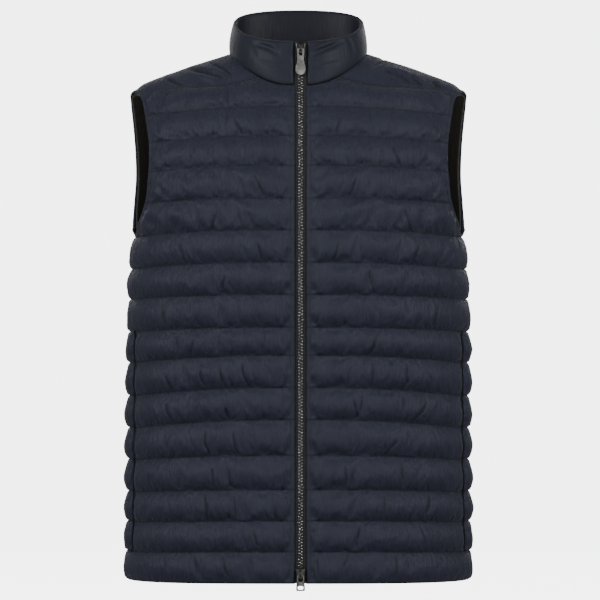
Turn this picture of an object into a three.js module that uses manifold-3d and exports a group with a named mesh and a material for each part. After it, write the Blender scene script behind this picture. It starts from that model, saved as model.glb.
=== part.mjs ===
// A sleeveless quilted vest with a stand collar, zipped to the top and filled out with nobody inside.
// Millimetres, +Z up. The origin is the middle of the neck base, level with the neck ends of the
// shoulders. +X is the wearer's left and the front faces -Y.
import * as THREE from "three";
import { mergeVertices } from "three/addons/utils/BufferGeometryUtils.js";
import Module from "manifold-3d";

// Cloth.
const WALL = 2; // outer cloth, flattened filling and inner cloth, pressed together at a sewn line
const SEAM_GAP = 0.3; // between two pieces that are sewn edge to edge
const FRONT = -1;
const BACK = 1;

// The closed zip and the space between the two front edges.
const ZIP_CENTRE = 2.7; // the zip lies a little to the wearer's left of the middle
const ZIP_SPACE = 18.2;
const ZIP_STITCH_MARGIN = 6; // the filling is pressed flat this far from a front edge
const CHAIN = { width: 8, front: -0.3, back: 3.3 };
const TAPE = { front: 0.9, back: 2.1, low: -664 };

// Girth of the body below the armholes: half its width at the side seams, and how far it reaches
// forward and back from the line through them.
const ARMPIT_Z = -233.2;
const BODY = [
  { z: ARMPIT_Z, half: 210, front: 124, back: 120 },
  { z: -274, half: 214, front: 123.5, back: 115 },
  { z: -312, half: 215.5, front: 122, back: 110 },
  { z: -394, half: 217, front: 118, back: 103.5 },
  { z: -517, half: 217.8, front: 117, back: 105 },
  { z: -634, half: 219.4, front: 119, back: 113 },
  { z: -675, half: 220.6, front: 120, back: 115 },
];
const SQUARENESS = 2.3; // 2 is an ellipse, more is squarer

// Above the armpits the same girth goes on, wider, and closes over the shoulders.
const UPPER_HALF = [
  { z: ARMPIT_Z, front: 210, back: 210 },
  { z: -200, front: 215.5, back: 218.5 },
  { z: -150, front: 225, back: 231 },
  { z: 0, front: 225, back: 233 },
];
const SHOULDER_RIDGE = [
  { x: 0, z: 28 },
  { x: 50, z: 15.5 },
  { x: 89, z: 0 },
  { x: 142, z: -17 },
  { x: 181, z: -31 },
  { x: 203, z: -40 },
  { x: 218, z: -47 },
  { x: 240, z: -59 },
];
const RIDGE_Y = 5;
const RIDGE_SQUARENESS = 2.3;

// The neck seam seen from above, and the collar's top edge.
const NECK = { half: 88, front: 88.6, back: 50, frontSquareness: 2.2, backSquareness: 2.3 };
const COLLAR_TOP = { half: 83.5, front: 84.5, back: 53, sideZ: 44, tilt: 0.385 };
const COLLAR_LIFT = 0.5; // the collar's lower edge above the edges of the panels
const COLLAR_END_PUFF = 0.2; // share of the puff that is left where the collar meets the zip
const COLLAR_END_TAPER = 30;

// Edges of the armholes, on the front and on the back.
const ARMHOLE_FRONT = [
  { z: -47, x: 206 },
  { z: -60.6, x: 199.3 },
  { z: -77, x: 195.9 },
  { z: -95, x: 192.6 },
  { z: -113, x: 190 },
  { z: -139, x: 189.2 },
  { z: -163, x: 190.8 },
  { z: -183, x: 193 },
  { z: -198, x: 197 },
  { z: -212, x: 202.6 },
  { z: -224, x: 206.8 },
  { z: ARMPIT_Z, x: 210 },
];
const ARMHOLE_BACK = [
  { z: -47, x: 218.6 },
  { z: -70, x: 217 },
  { z: -95, x: 215 },
  { z: -121, x: 213.5 },
  { z: -147, x: 212.8 },
  { z: -172, x: 213.6 },
  { z: -198, x: 214.6 },
  { z: -220, x: 213.4 },
  { z: ARMPIT_Z, x: 210 },
];

// The forward shoulder seam, from the neck seam to the armhole, as angles over the shoulder.
// 0 is the back at armpit level, 90 the ridge of the shoulder and 180 the front at armpit level.
const FORWARD_SEAM = { neckX: 50, neckAngle: 128.5, armholeX: 205.6, armholeAngle: 107.3 };
const BEHIND_RIDGE = { neckX: 70, armholeX: 218, armholeAngle: 80 };

// The sewn lines from the hem up: height at the zip, at the side seam or armhole, in the middle of
// the back and at the back of the armhole, and how far the channel above the line puffs out.
const SEWN_LINES = [
  { zip: -666.2, side: -669.6, middle: -672, behind: -669.6, puff: 5.6 },
  { zip: -627.9, side: -634.3, middle: -631, behind: -634.3, puff: 6.4 },
  { zip: -589.3, side: -596.3, middle: -593, behind: -596.3, puff: 6.4 },
  { zip: -550.3, side: -558.2, middle: -555, behind: -558.2, puff: 6.6 },
  { zip: -507.4, side: -517.3, middle: -514, behind: -517.3, puff: 6.6 },
  { zip: -462.8, side: -477.2, middle: -474, behind: -477.2, puff: 6.4 },
  { zip: -422.8, side: -436.3, middle: -433, behind: -436.3, puff: 6.2 },
  { zip: -382.4, side: -393.8, middle: -391, behind: -393.8, puff: 6.2 },
  { zip: -347.5, side: -354, middle: -351, behind: -354, puff: 5.8 },
  { zip: -306.6, side: -312.5, middle: -309, behind: -312.5, puff: 5.4 },
  { zip: -266.5, side: -273.8, middle: -270, behind: -273.8, puff: 5.2 },
  { zip: -226.1, side: ARMPIT_Z, middle: -229, behind: ARMPIT_Z, puff: 5 },
  { zip: -186.8, side: -190.6, middle: -189, behind: -192, puff: 4.8 },
  { zip: -145.3, side: -151.4, middle: -149, behind: -152, puff: 4.6 },
  { zip: -107.9, side: -114.3, middle: -108, behind: -116, puff: 4.6 },
  { zip: -70.4, side: -78.6, middle: -68, behind: -86, puff: 4 },
  { middle: -29, behind: -62, puff: 4 },
];
const ARMPIT_LINE = 11;
const FRONT_TOP_LINE = 15; // the front's channel above this line ends at the neck and the shoulder
const BACK_TOP_LINE = 16;

// Columns of the quilted walls, from the zip or the middle of the back to the side seam.
const FRONT_ANGLES = [2, 3.2, 9, 17, 26, 36, 47, 58, 66, 71.2, 74.6, 82, 90];
const BACK_ANGLES = [0, 5.5, 12, 19, 27, 36, 45, 54, 63, 71, 78, 84.5, 90];
const COLUMNS = 12;
const NECK_COLUMNS = 3; // columns that end at the neck seam, the others go over the shoulder
const COLUMN_BLEND = { low: -250, high: -130 };

// One channel from sewn line to sewn line: heights of its rows as shares of it.
const CHANNEL_ROWS = [0, 0.15, 0.5, 0.85];
const ROWS = CHANNEL_ROWS.length;

const BINDING = { reach: 22, thickness: 1.2, clearance: 2.1 };
const POCKET = { firstColumn: 9, topLine: 8, bottomLine: 1, lift: 0.4, thickness: 1.2 };

const NAVY = { color: 0x2d303b, roughness: 0.62, metalness: 0 };
const BLACK_ELASTIC = { color: 0x242322, roughness: 0.85, metalness: 0 };
const BLACK_TAPE = { color: 0x17181c, roughness: 0.9, metalness: 0 };
const GUNMETAL = { color: 0x6b6a66, roughness: 0.35, metalness: 0.9 };

const wasm = await Module();
wasm.setup();

const { lerp, clamp, smoothstep, degToRad } = THREE.MathUtils;
const point = (x, y, z) => new THREE.Vector3(x, y, z);
const sum = (list) => list.reduce((total, value) => total + value, 0);

// A smooth curve through one column of a table, read at a value of its key column.
function curve(table, key, column) {
  const rows = [...table].sort((a, b) => a[key] - b[key]);
  const last = rows.length - 1;
  const slope = (i) => {
    const before = rows[Math.max(i - 1, 0)];
    const after = rows[Math.min(i + 1, last)];
    return (after[column] - before[column]) / (after[key] - before[key]);
  };
  return (at) => {
    const place = clamp(at, rows[0][key], rows[last][key]);
    const i = Math.max(1, rows.findIndex((row) => row[key] >= place));
    const from = rows[i - 1];
    const to = rows[i];
    const span = to[key] - from[key];
    const t = (place - from[key]) / span;
    const rest = 1 - t;
    return (
      from[column] * rest * rest * (1 + 2 * t) +
      to[column] * t * t * (3 - 2 * t) +
      span * slope(i - 1) * t * rest * rest -
      span * slope(i) * t * t * rest
    );
  };
}

const bodyHalf = curve(BODY, "z", "half");
const bodyFront = curve(BODY, "z", "front");
const bodyBack = curve(BODY, "z", "back");
const upperFrontHalf = curve(UPPER_HALF, "z", "front");
const upperBackHalf = curve(UPPER_HALF, "z", "back");
const ridgeAt = curve(SHOULDER_RIDGE, "x", "z");
const armholeFront = curve(ARMHOLE_FRONT, "z", "x");
const armholeBack = curve(ARMHOLE_BACK, "z", "x");

function halfAt(side, z) {
  if (z <= ARMPIT_Z) return bodyHalf(z);
  return side === FRONT ? upperFrontHalf(z) : upperBackHalf(z);
}

function depthAt(side, z) {
  const level = Math.min(z, ARMPIT_Z);
  return side === FRONT ? bodyFront(level) : bodyBack(level);
}

// How far up from armpit level to the ridge of the shoulder a point is, from 0 to 1.
function riseAt(x, z) {
  return Math.max(0, (z - ARMPIT_Z) / (ridgeAt(Math.abs(x)) - ARMPIT_Z));
}

function roundingAt(side, x, z) {
  const share = Math.min(1, Math.abs(x) / halfAt(side, z));
  return (1 - share ** SQUARENESS) ** (1 / SQUARENESS);
}

// The middle between front and back, which moves to the ridge of the shoulder.
function middleY(x, z) {
  return RIDGE_Y * smoothstep(riseAt(x, z), 0, 1);
}

// How far the front and the back have closed in on each other, 1 at armpit level and 0 at the ridge.
const closingAt = (rise) => Math.sqrt(Math.max(0, 1 - rise ** RIDGE_SQUARENESS));

// Depth of the sewn surface, where the outer cloth is held down by stitches.
function wallY(side, x, z) {
  const reach = depthAt(side, z) * roundingAt(side, x, z) * closingAt(riseAt(x, z));
  return middleY(x, z) + side * reach;
}

// 1 on the sewn surface, less inside it and more outside.
function field(p) {
  const middle = middleY(p.x, p.z);
  const side = p.y < middle ? FRONT : BACK;
  const depth = depthAt(side, p.z);
  const rise = riseAt(p.x, p.z);
  if (rise < 0.5) {
    const across = Math.abs(p.x) / halfAt(side, p.z);
    const along = Math.abs(p.y - middle) / (depth * closingAt(rise));
    return across ** SQUARENESS + along ** SQUARENESS;
  }
  const reach = depth * roundingAt(side, p.x, p.z);
  return ((p.y - middle) / reach) ** 2 + rise ** RIDGE_SQUARENESS;
}

function slopeOf(p) {
  const step = 0.4;
  const along = (x, y, z) => {
    const ahead = field(point(p.x + x, p.y + y, p.z + z));
    const behind = field(point(p.x - x, p.y - y, p.z - z));
    return (ahead - behind) / (2 * step);
  };
  return point(along(step, 0, 0), along(0, step, 0), along(0, 0, step));
}

const outwardAt = (p) => slopeOf(p).normalize();

// The point of the sewn surface nearest to p, for a p that is already close to it.
function ontoSurface(p) {
  const found = p.clone();
  for (let i = 0; i < 8; i += 1) {
    const slope = slopeOf(found);
    found.addScaledVector(slope, (1 - field(found)) / slope.lengthSq());
  }
  return found;
}

// A point over the shoulder, by its distance from the middle and its angle over the ridge.
function shoulderPoint({ x, angle }) {
  const turn = degToRad(angle);
  const side = angle > 90 ? FRONT : BACK;
  const rise = Math.sin(turn) ** (2 / RIDGE_SQUARENESS);
  const z = ARMPIT_Z + rise * (ridgeAt(x) - ARMPIT_Z);
  const reach = depthAt(side, z) * roundingAt(side, x, z);
  return point(x, middleY(x, z) + side * reach * Math.abs(Math.cos(turn)), z);
}

function angleAt(x, z) {
  const rise = Math.min(1, riseAt(x, z) ** (RIDGE_SQUARENESS / 2));
  return THREE.MathUtils.radToDeg(Math.asin(rise));
}

// The neck seam. The turn goes from 0 at the middle of the front to 180 at the middle of the back.
function neckOutline(outline, turn) {
  const angle = degToRad(turn);
  const ahead = turn < 90;
  const squareness = ahead ? NECK.frontSquareness : NECK.backSquareness;
  const reach = ahead ? -outline.front : outline.back;
  return {
    x: outline.half * Math.abs(Math.sin(angle)) ** (2 / squareness),
    y: reach * Math.abs(Math.cos(angle)) ** (2 / squareness),
  };
}

function neckTurnAt(x, ahead) {
  const squareness = ahead ? NECK.frontSquareness : NECK.backSquareness;
  const turn = THREE.MathUtils.radToDeg(Math.asin((x / NECK.half) ** (squareness / 2)));
  return ahead ? turn : 180 - turn;
}

function neckPlace(turn) {
  const { x, y } = neckOutline(NECK, turn);
  const side = y < 0 ? FRONT : BACK;
  const level = 0;
  const reach = depthAt(side, level) * roundingAt(side, x, level);
  return { x, angle: THREE.MathUtils.radToDeg(Math.acos(y / reach)) };
}

const FRONT_NECK_TURN = neckTurnAt(FORWARD_SEAM.neckX, true);
const BACK_NECK_TURN = neckTurnAt(BEHIND_RIDGE.neckX, false);

const blendBetween = (a, b, t) => ({ x: lerp(a.x, b.x, t), angle: lerp(a.angle, b.angle, t) });

// A place on the forward shoulder seam, from 0 at the neck seam to 1 at the armhole.
function forwardSeam(share) {
  return {
    x: lerp(FORWARD_SEAM.neckX, FORWARD_SEAM.armholeX, share),
    angle: lerp(FORWARD_SEAM.neckAngle, FORWARD_SEAM.armholeAngle, share * share),
  };
}

const seamShare = (column) => (column - NECK_COLUMNS) / (COLUMNS - NECK_COLUMNS);
const columnReach = (angle) => Math.sin(degToRad(angle)) ** (2 / SQUARENESS);

// Share of the way from the zip or the middle of the back to the side, for a column at a height.
function columnShare(low, high, z) {
  return lerp(low, high, smoothstep(z, COLUMN_BLEND.low, COLUMN_BLEND.high));
}

// The sewn lines below and above a level, where no line above the last one counts.
function linesAt(level, last) {
  const below = Math.min(Math.floor(level), last - 1);
  return { lower: SEWN_LINES[below], upper: SEWN_LINES[below + 1], t: level - below };
}

// A point of a front's sewn surface. Levels count sewn lines up from the hem.
function frontPoint(zipEdge, level, column) {
  const width = BODY[0].half - zipEdge;
  const lowReach = (BODY[0].half * columnReach(FRONT_ANGLES[column]) - zipEdge) / width;
  const margin = ZIP_STITCH_MARGIN / width;
  const low = column < 2 ? column * margin : lowReach;
  const high = column < 2 ? column * margin : lerp(margin, 1, (column - 1) / (COLUMNS - 1));
  const { lower, upper, t } = linesAt(Math.min(level, FRONT_TOP_LINE), FRONT_TOP_LINE);
  const edgeLine = level > FRONT_TOP_LINE ? SEWN_LINES[FRONT_TOP_LINE] : null;
  const sideZ = edgeLine ? edgeLine.side : lerp(lower.side, upper.side, t);
  const zipZ = edgeLine ? edgeLine.zip : lerp(lower.zip, upper.zip, t);
  const share = columnShare(low, high, sideZ);
  let z = lerp(zipZ, sideZ, share * share);
  const sideX = (at) => (at <= ARMPIT_Z ? bodyHalf(at) : armholeFront(at));
  let x = lerp(zipEdge, sideX(sideZ), share);
  if (edgeLine) {
    const top = frontTop(zipEdge, column);
    const up = level - FRONT_TOP_LINE;
    const topSideZ = frontTop(zipEdge, COLUMNS).z;
    const topShare = (top.x - zipEdge) / (FORWARD_SEAM.armholeX - zipEdge);
    x = lerp(zipEdge, sideX(lerp(sideZ, topSideZ, up)), lerp(share, topShare, up));
    z = lerp(z, top.z - SEAM_GAP, up);
  }
  const seam = sideZ <= ARMPIT_Z && column === COLUMNS ? SEAM_GAP / 2 : 0;
  return point(x, wallY(FRONT, x, z) - seam, z);
}

// The upper edge of a front: the neck seam, then the forward shoulder seam.
function frontTop(zipEdge, column) {
  if (column >= NECK_COLUMNS) return shoulderPoint(forwardSeam(seamShare(column)));
  const inner = column < 2 ? zipEdge + column * ZIP_STITCH_MARGIN : null;
  const x = inner ?? lerp(zipEdge + ZIP_STITCH_MARGIN, FORWARD_SEAM.neckX, 0.5);
  return shoulderPoint(neckPlace(neckTurnAt(x, true)));
}

// Where the back's sewn surface crosses its highest straight sewn line, and the line behind the ridge.
function backLine(column) {
  const p = backPoint(BACK_TOP_LINE, column);
  return { x: p.x, angle: angleAt(p.x, p.z) };
}

function ridgeLine(column) {
  if (column <= NECK_COLUMNS) return neckPlace(lerp(180, BACK_NECK_TURN, column / NECK_COLUMNS));
  const outer = { x: BEHIND_RIDGE.armholeX, angle: BEHIND_RIDGE.armholeAngle };
  return blendBetween(neckPlace(BACK_NECK_TURN), outer, seamShare(column));
}

// A place in the channel over the ridge, t from the line behind the ridge to the forward seam.
function overRidge(column, t) {
  const inner = neckPlace(lerp(BACK_NECK_TURN, FRONT_NECK_TURN, t));
  const outer = {
    x: lerp(BEHIND_RIDGE.armholeX, FORWARD_SEAM.armholeX, t ** 1.5),
    angle: lerp(BEHIND_RIDGE.armholeAngle, FORWARD_SEAM.armholeAngle, t),
  };
  const share = seamShare(column);
  return {
    x: lerp(inner.x, outer.x, share),
    angle: lerp(inner.angle, outer.angle, share ** (1 + t)),
  };
}

// A point of the back's sewn surface, on one side of its middle.
function backPoint(level, column) {
  if (level > BACK_TOP_LINE + 1) return shoulderPoint(overRidge(column, (level - BACK_TOP_LINE - 1) / 2));
  if (level > BACK_TOP_LINE) {
    const place = blendBetween(backLine(column), ridgeLine(column), level - BACK_TOP_LINE);
    return shoulderPoint(place);
  }
  const { lower, upper, t } = linesAt(level, BACK_TOP_LINE);
  const sideZ = lerp(lower.behind, upper.behind, t);
  const neckShare = BEHIND_RIDGE.neckX / BEHIND_RIDGE.armholeX;
  const high = column <= NECK_COLUMNS
    ? (neckShare * column) / NECK_COLUMNS
    : lerp(neckShare, 1, seamShare(column));
  const share = columnShare(columnReach(BACK_ANGLES[column]), high, sideZ);
  const z = lerp(lerp(lower.middle, upper.middle, t), sideZ, share * share);
  const x = share * (sideZ <= ARMPIT_Z ? bodyHalf(sideZ) : armholeBack(sideZ));
  const seam = sideZ <= ARMPIT_Z && column === COLUMNS ? SEAM_GAP / 2 : 0;
  return point(x, wallY(BACK, x, z) + seam, z);
}

// How far the filling lifts the outer cloth: nothing on a sewn line, most in the middle of a channel.
function puffAt(puff, share, edge) {
  const across = Math.sin(Math.PI * share) ** 0.7;
  return puff * across * edge;
}

// The puff along a channel, which dips towards an edge that is stitched flat.
function edgePuff(column, stitchedNear, stitchedFar) {
  const near = stitchedNear ? clamp(column / 1.6, 0, 1) ** 0.6 : 1;
  const far = stitchedFar ? clamp((COLUMNS - column) / 1.2, 0, 1) ** 0.6 : 1;
  const sideSeam = stitchedFar ? 1 : 0.6 + 0.4 * clamp((COLUMNS - column) / 1.5, 0, 1);
  return near * far * sideSeam;
}

const unevenness = (level, column) => 1 + 0.12 * Math.sin(2.1 * column + 1.7 * level);

// One closed wall: a finely divided outer grid over a plain inner one with the same columns.
// cells: for each channel how many rows its inner side has; present: which cells are there.
function quiltedWall({ outer, inner, cells, columns, present }) {
  const places = [];
  const faces = [];
  const add = (p) => places.push(p) - 1;
  const outside = outer.map((row) => row.map(add));
  const within = inner.map((row) => row.map(add));
  const face = (a, b, c) => faces.push([a, b, c]);
  const quad = (a, b, c, d) => {
    face(a, b, c);
    face(a, c, d);
  };
  cells.forEach((innerRows, k) => {
    const rowsPerInner = ROWS / innerRows;
    const here = (j) => j >= 0 && j < columns && present(k, j);
    const there = (cell, j) => cell >= 0 && cell < cells.length && present(cell, j);
    for (let j = 0; j < columns; j += 1) {
      if (!here(j)) continue;
      for (let r = k * ROWS; r < (k + 1) * ROWS; r += 1) {
        quad(outside[r][j], outside[r][j + 1], outside[r + 1][j + 1], outside[r + 1][j]);
      }
      for (let i = 0; i < innerRows; i += 1) {
        const low = k * ROWS + i * rowsPerInner;
        const high = low + rowsPerInner;
        quad(within[low][j + 1], within[low][j], within[high][j], within[high][j + 1]);
        const rim = (column, leftmost) => {
          const corner = within[low][column];
          const turned = (a, b) => (leftmost ? face(corner, a, b) : face(corner, b, a));
          for (let r = low; r < high; r += 1) turned(outside[r][column], outside[r + 1][column]);
          turned(outside[high][column], within[high][column]);
        };
        if (!here(j - 1)) rim(j, true);
        if (!here(j + 1)) rim(j + 1, false);
      }
      const low = k * ROWS;
      const high = low + ROWS;
      if (!there(k - 1, j)) quad(within[low][j], within[low][j + 1], outside[low][j + 1], outside[low][j]);
      if (!there(k + 1, j)) {
        quad(within[high][j + 1], within[high][j], outside[high][j], outside[high][j + 1]);
      }
    }
  });
  return closedGeometry(places, faces);
}

// A geometry from points and faces, turned so that the faces look outwards.
function closedGeometry(places, faces) {
  const volume = sum(faces.map(([a, b, c]) => places[a].dot(places[b].clone().cross(places[c]))));
  const used = volume < 0 ? faces.map(([a, b, c]) => [a, c, b]) : faces;
  const coordinates = places.flatMap((p) => [p.x, p.y, p.z]);
  const geometry = new THREE.BufferGeometry();
  geometry.setAttribute("position", new THREE.Float32BufferAttribute(coordinates, 3));
  geometry.setIndex(used.flat());
  return geometry;
}

// A closed body through loops of points, its ends filled, or the last loop joined to the first.
function loft(loops, ring = false) {
  const places = loops.flat();
  const count = loops[0].length;
  const faces = [];
  const spans = ring ? loops.length : loops.length - 1;
  for (let i = 0; i < spans; i += 1) {
    const here = i * count;
    const next = ((i + 1) % loops.length) * count;
    for (let j = 0; j < count; j += 1) {
      const k = (j + 1) % count;
      faces.push([here + j, here + k, next + k], [here + j, next + k, next + j]);
    }
  }
  if (!ring) {
    const fill = (loop, start, flip) => {
      const centre = places.push(loop.reduce((s, p) => s.add(p), point(0, 0, 0)).divideScalar(count)) - 1;
      for (let j = 0; j < count; j += 1) {
        const k = (j + 1) % count;
        faces.push(flip ? [centre, start + k, start + j] : [centre, start + j, start + k]);
      }
    };
    fill(loops[0], 0, true);
    fill(loops[loops.length - 1], (loops.length - 1) * count, false);
  }
  return closedGeometry(places, faces);
}

// The levels of a wall's rows, and the share of its channel that each one is at.
function wallRows(channels) {
  const rows = [];
  channels.forEach(({ from, to, start, end }) => {
    CHANNEL_ROWS.forEach((share) => {
      rows.push({ level: lerp(from, to, share), share: lerp(start, end, share), channel: from });
    });
  });
  const last = channels[channels.length - 1];
  rows.push({ level: last.to, share: last.end, channel: last.from });
  return rows;
}

// The outer and inner points of a wall from its sewn surface.
function wallGrids(rows, columnList, seamPoint, puff) {
  const outer = [];
  const inner = [];
  rows.forEach((row) => {
    const surface = columnList.map((column) => seamPoint(row.level, column));
    const normals = surface.map((p) => outwardAt(p));
    const lift = columnList.map((column) => puff(row, column));
    outer.push(surface.map((p, i) => p.clone().addScaledVector(normals[i], lift[i])));
    inner.push(surface.map((p, i) => p.clone().addScaledVector(normals[i], -WALL)));
  });
  return { outer, inner };
}

const range = (count) => Array.from({ length: count }, (_, i) => i);
const innerRowsAt = (level) => (level < ARMPIT_LINE - 2 ? 1 : ROWS);

const FRONT_CHANNELS = range(FRONT_TOP_LINE + 1).map((k) => ({ from: k, to: k + 1, start: 0, end: 1 }));

function frontWall(side) {
  const zipEdge = ZIP_SPACE / 2 + side * ZIP_CENTRE;
  const rows = wallRows(FRONT_CHANNELS);
  const surface = (level, column) => {
    const p = frontPoint(zipEdge, level, column);
    return point(side * p.x, p.y, p.z);
  };
  const puff = (row, column) => {
    const open = row.level > ARMPIT_LINE;
    const edge = edgePuff(column, true, open);
    const uneven = unevenness(row.channel, column);
    return puffAt(SEWN_LINES[row.channel].puff, row.share, edge) * uneven;
  };
  const grids = wallGrids(rows, range(COLUMNS + 1), surface, puff);
  return {
    ...grids,
    geometry: quiltedWall({
      ...grids,
      cells: FRONT_CHANNELS.map(({ from }) => innerRowsAt(from)),
      columns: COLUMNS,
      present: () => true,
    }),
  };
}

const BACK_CHANNELS = [
  ...range(BACK_TOP_LINE + 1).map((k) => ({ from: k, to: k + 1, start: 0, end: 1 })),
  { from: BACK_TOP_LINE + 1, to: BACK_TOP_LINE + 2, start: 0, end: 0.5 },
  { from: BACK_TOP_LINE + 2, to: BACK_TOP_LINE + 3, start: 0.5, end: 1 },
];

function backWall() {
  const rows = wallRows(BACK_CHANNELS);
  const columnList = range(2 * COLUMNS + 1).map((i) => i - COLUMNS);
  const surface = (level, column) => {
    const aside = Math.abs(column);
    const overNeck = level > BACK_TOP_LINE + 1 && aside < NECK_COLUMNS;
    const p = backPoint(overNeck ? BACK_TOP_LINE + 1 : level, aside);
    return point(Math.sign(column) * p.x, p.y, p.z);
  };
  const puff = (row, column) => {
    const open = row.level > ARMPIT_LINE;
    const edge = edgePuff(Math.abs(column), false, open);
    const line = SEWN_LINES[Math.min(row.channel, BACK_TOP_LINE)];
    return puffAt(line.puff, row.share, edge) * unevenness(row.channel + 0.6, column);
  };
  const grids = wallGrids(rows, columnList, surface, puff);
  const aboveNeck = (k) => k > BACK_TOP_LINE;
  const overNeck = (j) => j >= COLUMNS - NECK_COLUMNS && j < COLUMNS + NECK_COLUMNS;
  return quiltedWall({
    ...grids,
    cells: BACK_CHANNELS.map(({ from }) => innerRowsAt(from)),
    columns: 2 * COLUMNS,
    present: (k, j) => !(aboveNeck(k) && overNeck(j)),
  });
}

// Section of the collar: share of its height, and how far out of its outer face.
const COLLAR_SECTION = [
  { up: 0, out: 0 },
  { up: 0.14, out: 1.7 },
  { up: 0.38, out: 2.8 },
  { up: 0.64, out: 2.5 },
  { up: 0.86, out: 1.3 },
  { up: 0.97, out: 0.2 },
  { up: 1, out: -1.6 },
  { up: 0.985, out: -3.6 },
  { up: 0.93, out: -4.8 },
  { up: 0.6, out: -5.6 },
  { up: 0.25, out: -5.4 },
  { up: 0, out: -4.2 },
];

// The turns round the neck at which the panels and the collar both have points, one half of it.
function neckStations(zipEdge) {
  const first = [zipEdge, zipEdge + ZIP_STITCH_MARGIN];
  first.push(lerp(first[1], FORWARD_SEAM.neckX, 0.5));
  const ahead = first.map((x) => neckTurnAt(x, true));
  const over = [];
  range(2).forEach((half) => {
    CHANNEL_ROWS.forEach((share) => over.push((half + share) / 2));
  });
  const beside = [...over, 1].map((t) => lerp(BACK_NECK_TURN, FRONT_NECK_TURN, t)).reverse();
  const behind = range(NECK_COLUMNS).map((i) => lerp(BACK_NECK_TURN, 180, (i + 1) / NECK_COLUMNS));
  return [...ahead, ...beside, ...behind];
}

function collarLoop(side, turn, zipEdge) {
  const base = shoulderPoint(neckPlace(turn)).add(point(0, 0, COLLAR_LIFT));
  const { y } = neckOutline(COLLAR_TOP, turn);
  const fromZip = Math.max(0, base.x - zipEdge);
  const topX = Math.min(base.x, zipEdge) + (fromZip * (COLLAR_TOP.half - zipEdge)) / (NECK.half - zipEdge);
  const topY = RIDGE_Y + y;
  const top = point(topX, topY, COLLAR_TOP.sideZ + COLLAR_TOP.tilt * topY);
  const reach = y < 0 ? COLLAR_TOP.front : COLLAR_TOP.back;
  const outward = point(fromZip / COLLAR_TOP.half ** 2, y / reach ** 2, 0).normalize();
  const gentle = 1 + 0.15 * Math.sin(degToRad(turn) * 7 * side);
  const fullness = lerp(COLLAR_END_PUFF, gentle, smoothstep(fromZip, 0, COLLAR_END_TAPER));
  return COLLAR_SECTION.map(({ up, out }) => {
    const p = base.clone().lerp(top, up).addScaledVector(outward, out > 0 ? out * fullness : out);
    return point(side * p.x, p.y, p.z);
  });
}

function collarHalf(side) {
  const zipEdge = ZIP_SPACE / 2 + side * ZIP_CENTRE;
  return neckStations(zipEdge).map((turn) => collarLoop(side, turn, zipEdge));
}

function collar() {
  const left = collarHalf(1);
  const right = collarHalf(-1);
  right.pop(); // the middle of the back is in both halves
  return loft([...left, ...right.reverse()]);
}

// The elastic band inside an armhole: up the front edge, over the shoulder and down the back edge.
function armholeBinding(side) {
  const ahead = wallRows(FRONT_CHANNELS).filter((row) => row.level >= ARMPIT_LINE);
  const behind = wallRows(BACK_CHANNELS).filter((row) => row.level > ARMPIT_LINE);
  behind.pop(); // the forward seam's end is already there from the front
  const edge = [
    ...ahead.map((row) => frontPoint(0, row.level, COLUMNS)),
    ...behind.reverse().map((row) => backPoint(row.level, COLUMNS)),
  ];
  const loops = edge.map((p, i) => {
    const before = edge[(i + edge.length - 1) % edge.length];
    const after = edge[(i + 1) % edge.length];
    const outward = outwardAt(p);
    const inland = after.clone().sub(before).cross(outward).normalize().negate();
    const across = [0, 0.5, 1].map((share) => {
      const q = p.clone().addScaledVector(inland, share * BINDING.reach);
      return share === 0 ? q : ontoSurface(q);
    });
    const sunk = (q, depth) => q.clone().addScaledVector(outwardAt(q), -depth);
    const depth = WALL + BINDING.clearance;
    return [
      ...across.map((q) => sunk(q, depth)),
      ...across.reverse().map((q) => sunk(q, depth + BINDING.thickness)),
    ].map((q) => point(side * q.x, q.y, q.z));
  });
  return loft(loops, true);
}

// The strip that edges a pocket, made from the front's own outer points and moved out.
function pocketWelt(side, front) {
  const { firstColumn, topLine, bottomLine, lift, thickness } = POCKET;
  const rows = front.outer.slice(bottomLine * ROWS, topLine * ROWS + 1);
  const loops = rows.map((row) => {
    const [near, far] = [row[firstColumn], row[firstColumn + 1]];
    const [nearOut, farOut] = [outwardAt(near), outwardAt(far)];
    return [
      near.clone().addScaledVector(nearOut, lift),
      far.clone().addScaledVector(farOut, lift),
      far.clone().addScaledVector(farOut, lift + thickness),
      near.clone().addScaledVector(nearOut, lift + thickness),
    ];
  });
  return loft(loops);
}

// Depth of the zip's path: down the collar and then down the fronts.
const NECK_AT_ZIP = shoulderPoint(neckPlace(neckTurnAt(ZIP_CENTRE, true)));
const COLLAR_FRONT_Y = RIDGE_Y - COLLAR_TOP.front;
const COLLAR_FRONT_Z = COLLAR_TOP.sideZ + COLLAR_TOP.tilt * COLLAR_FRONT_Y;

function zipY(z) {
  if (z <= NECK_AT_ZIP.z) return wallY(FRONT, ZIP_CENTRE, z);
  const up = (z - NECK_AT_ZIP.z) / (COLLAR_FRONT_Z - NECK_AT_ZIP.z);
  return lerp(NECK_AT_ZIP.y, COLLAR_FRONT_Y, up);
}

// A strip along the zip from low to high, between two distances from the zip's centre.
function zipStrip({ low, high, from, to, front, back }) {
  const steps = Math.round((high - low) / 20);
  const loops = range(steps + 1).map((i) => {
    const z = lerp(low, high, i / steps);
    const y = zipY(z);
    return [
      point(ZIP_CENTRE + from, y + front, z),
      point(ZIP_CENTRE + to, y + front, z),
      point(ZIP_CENTRE + to, y + back, z),
      point(ZIP_CENTRE + from, y + back, z),
    ];
  });
  return loft(loops);
}

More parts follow.
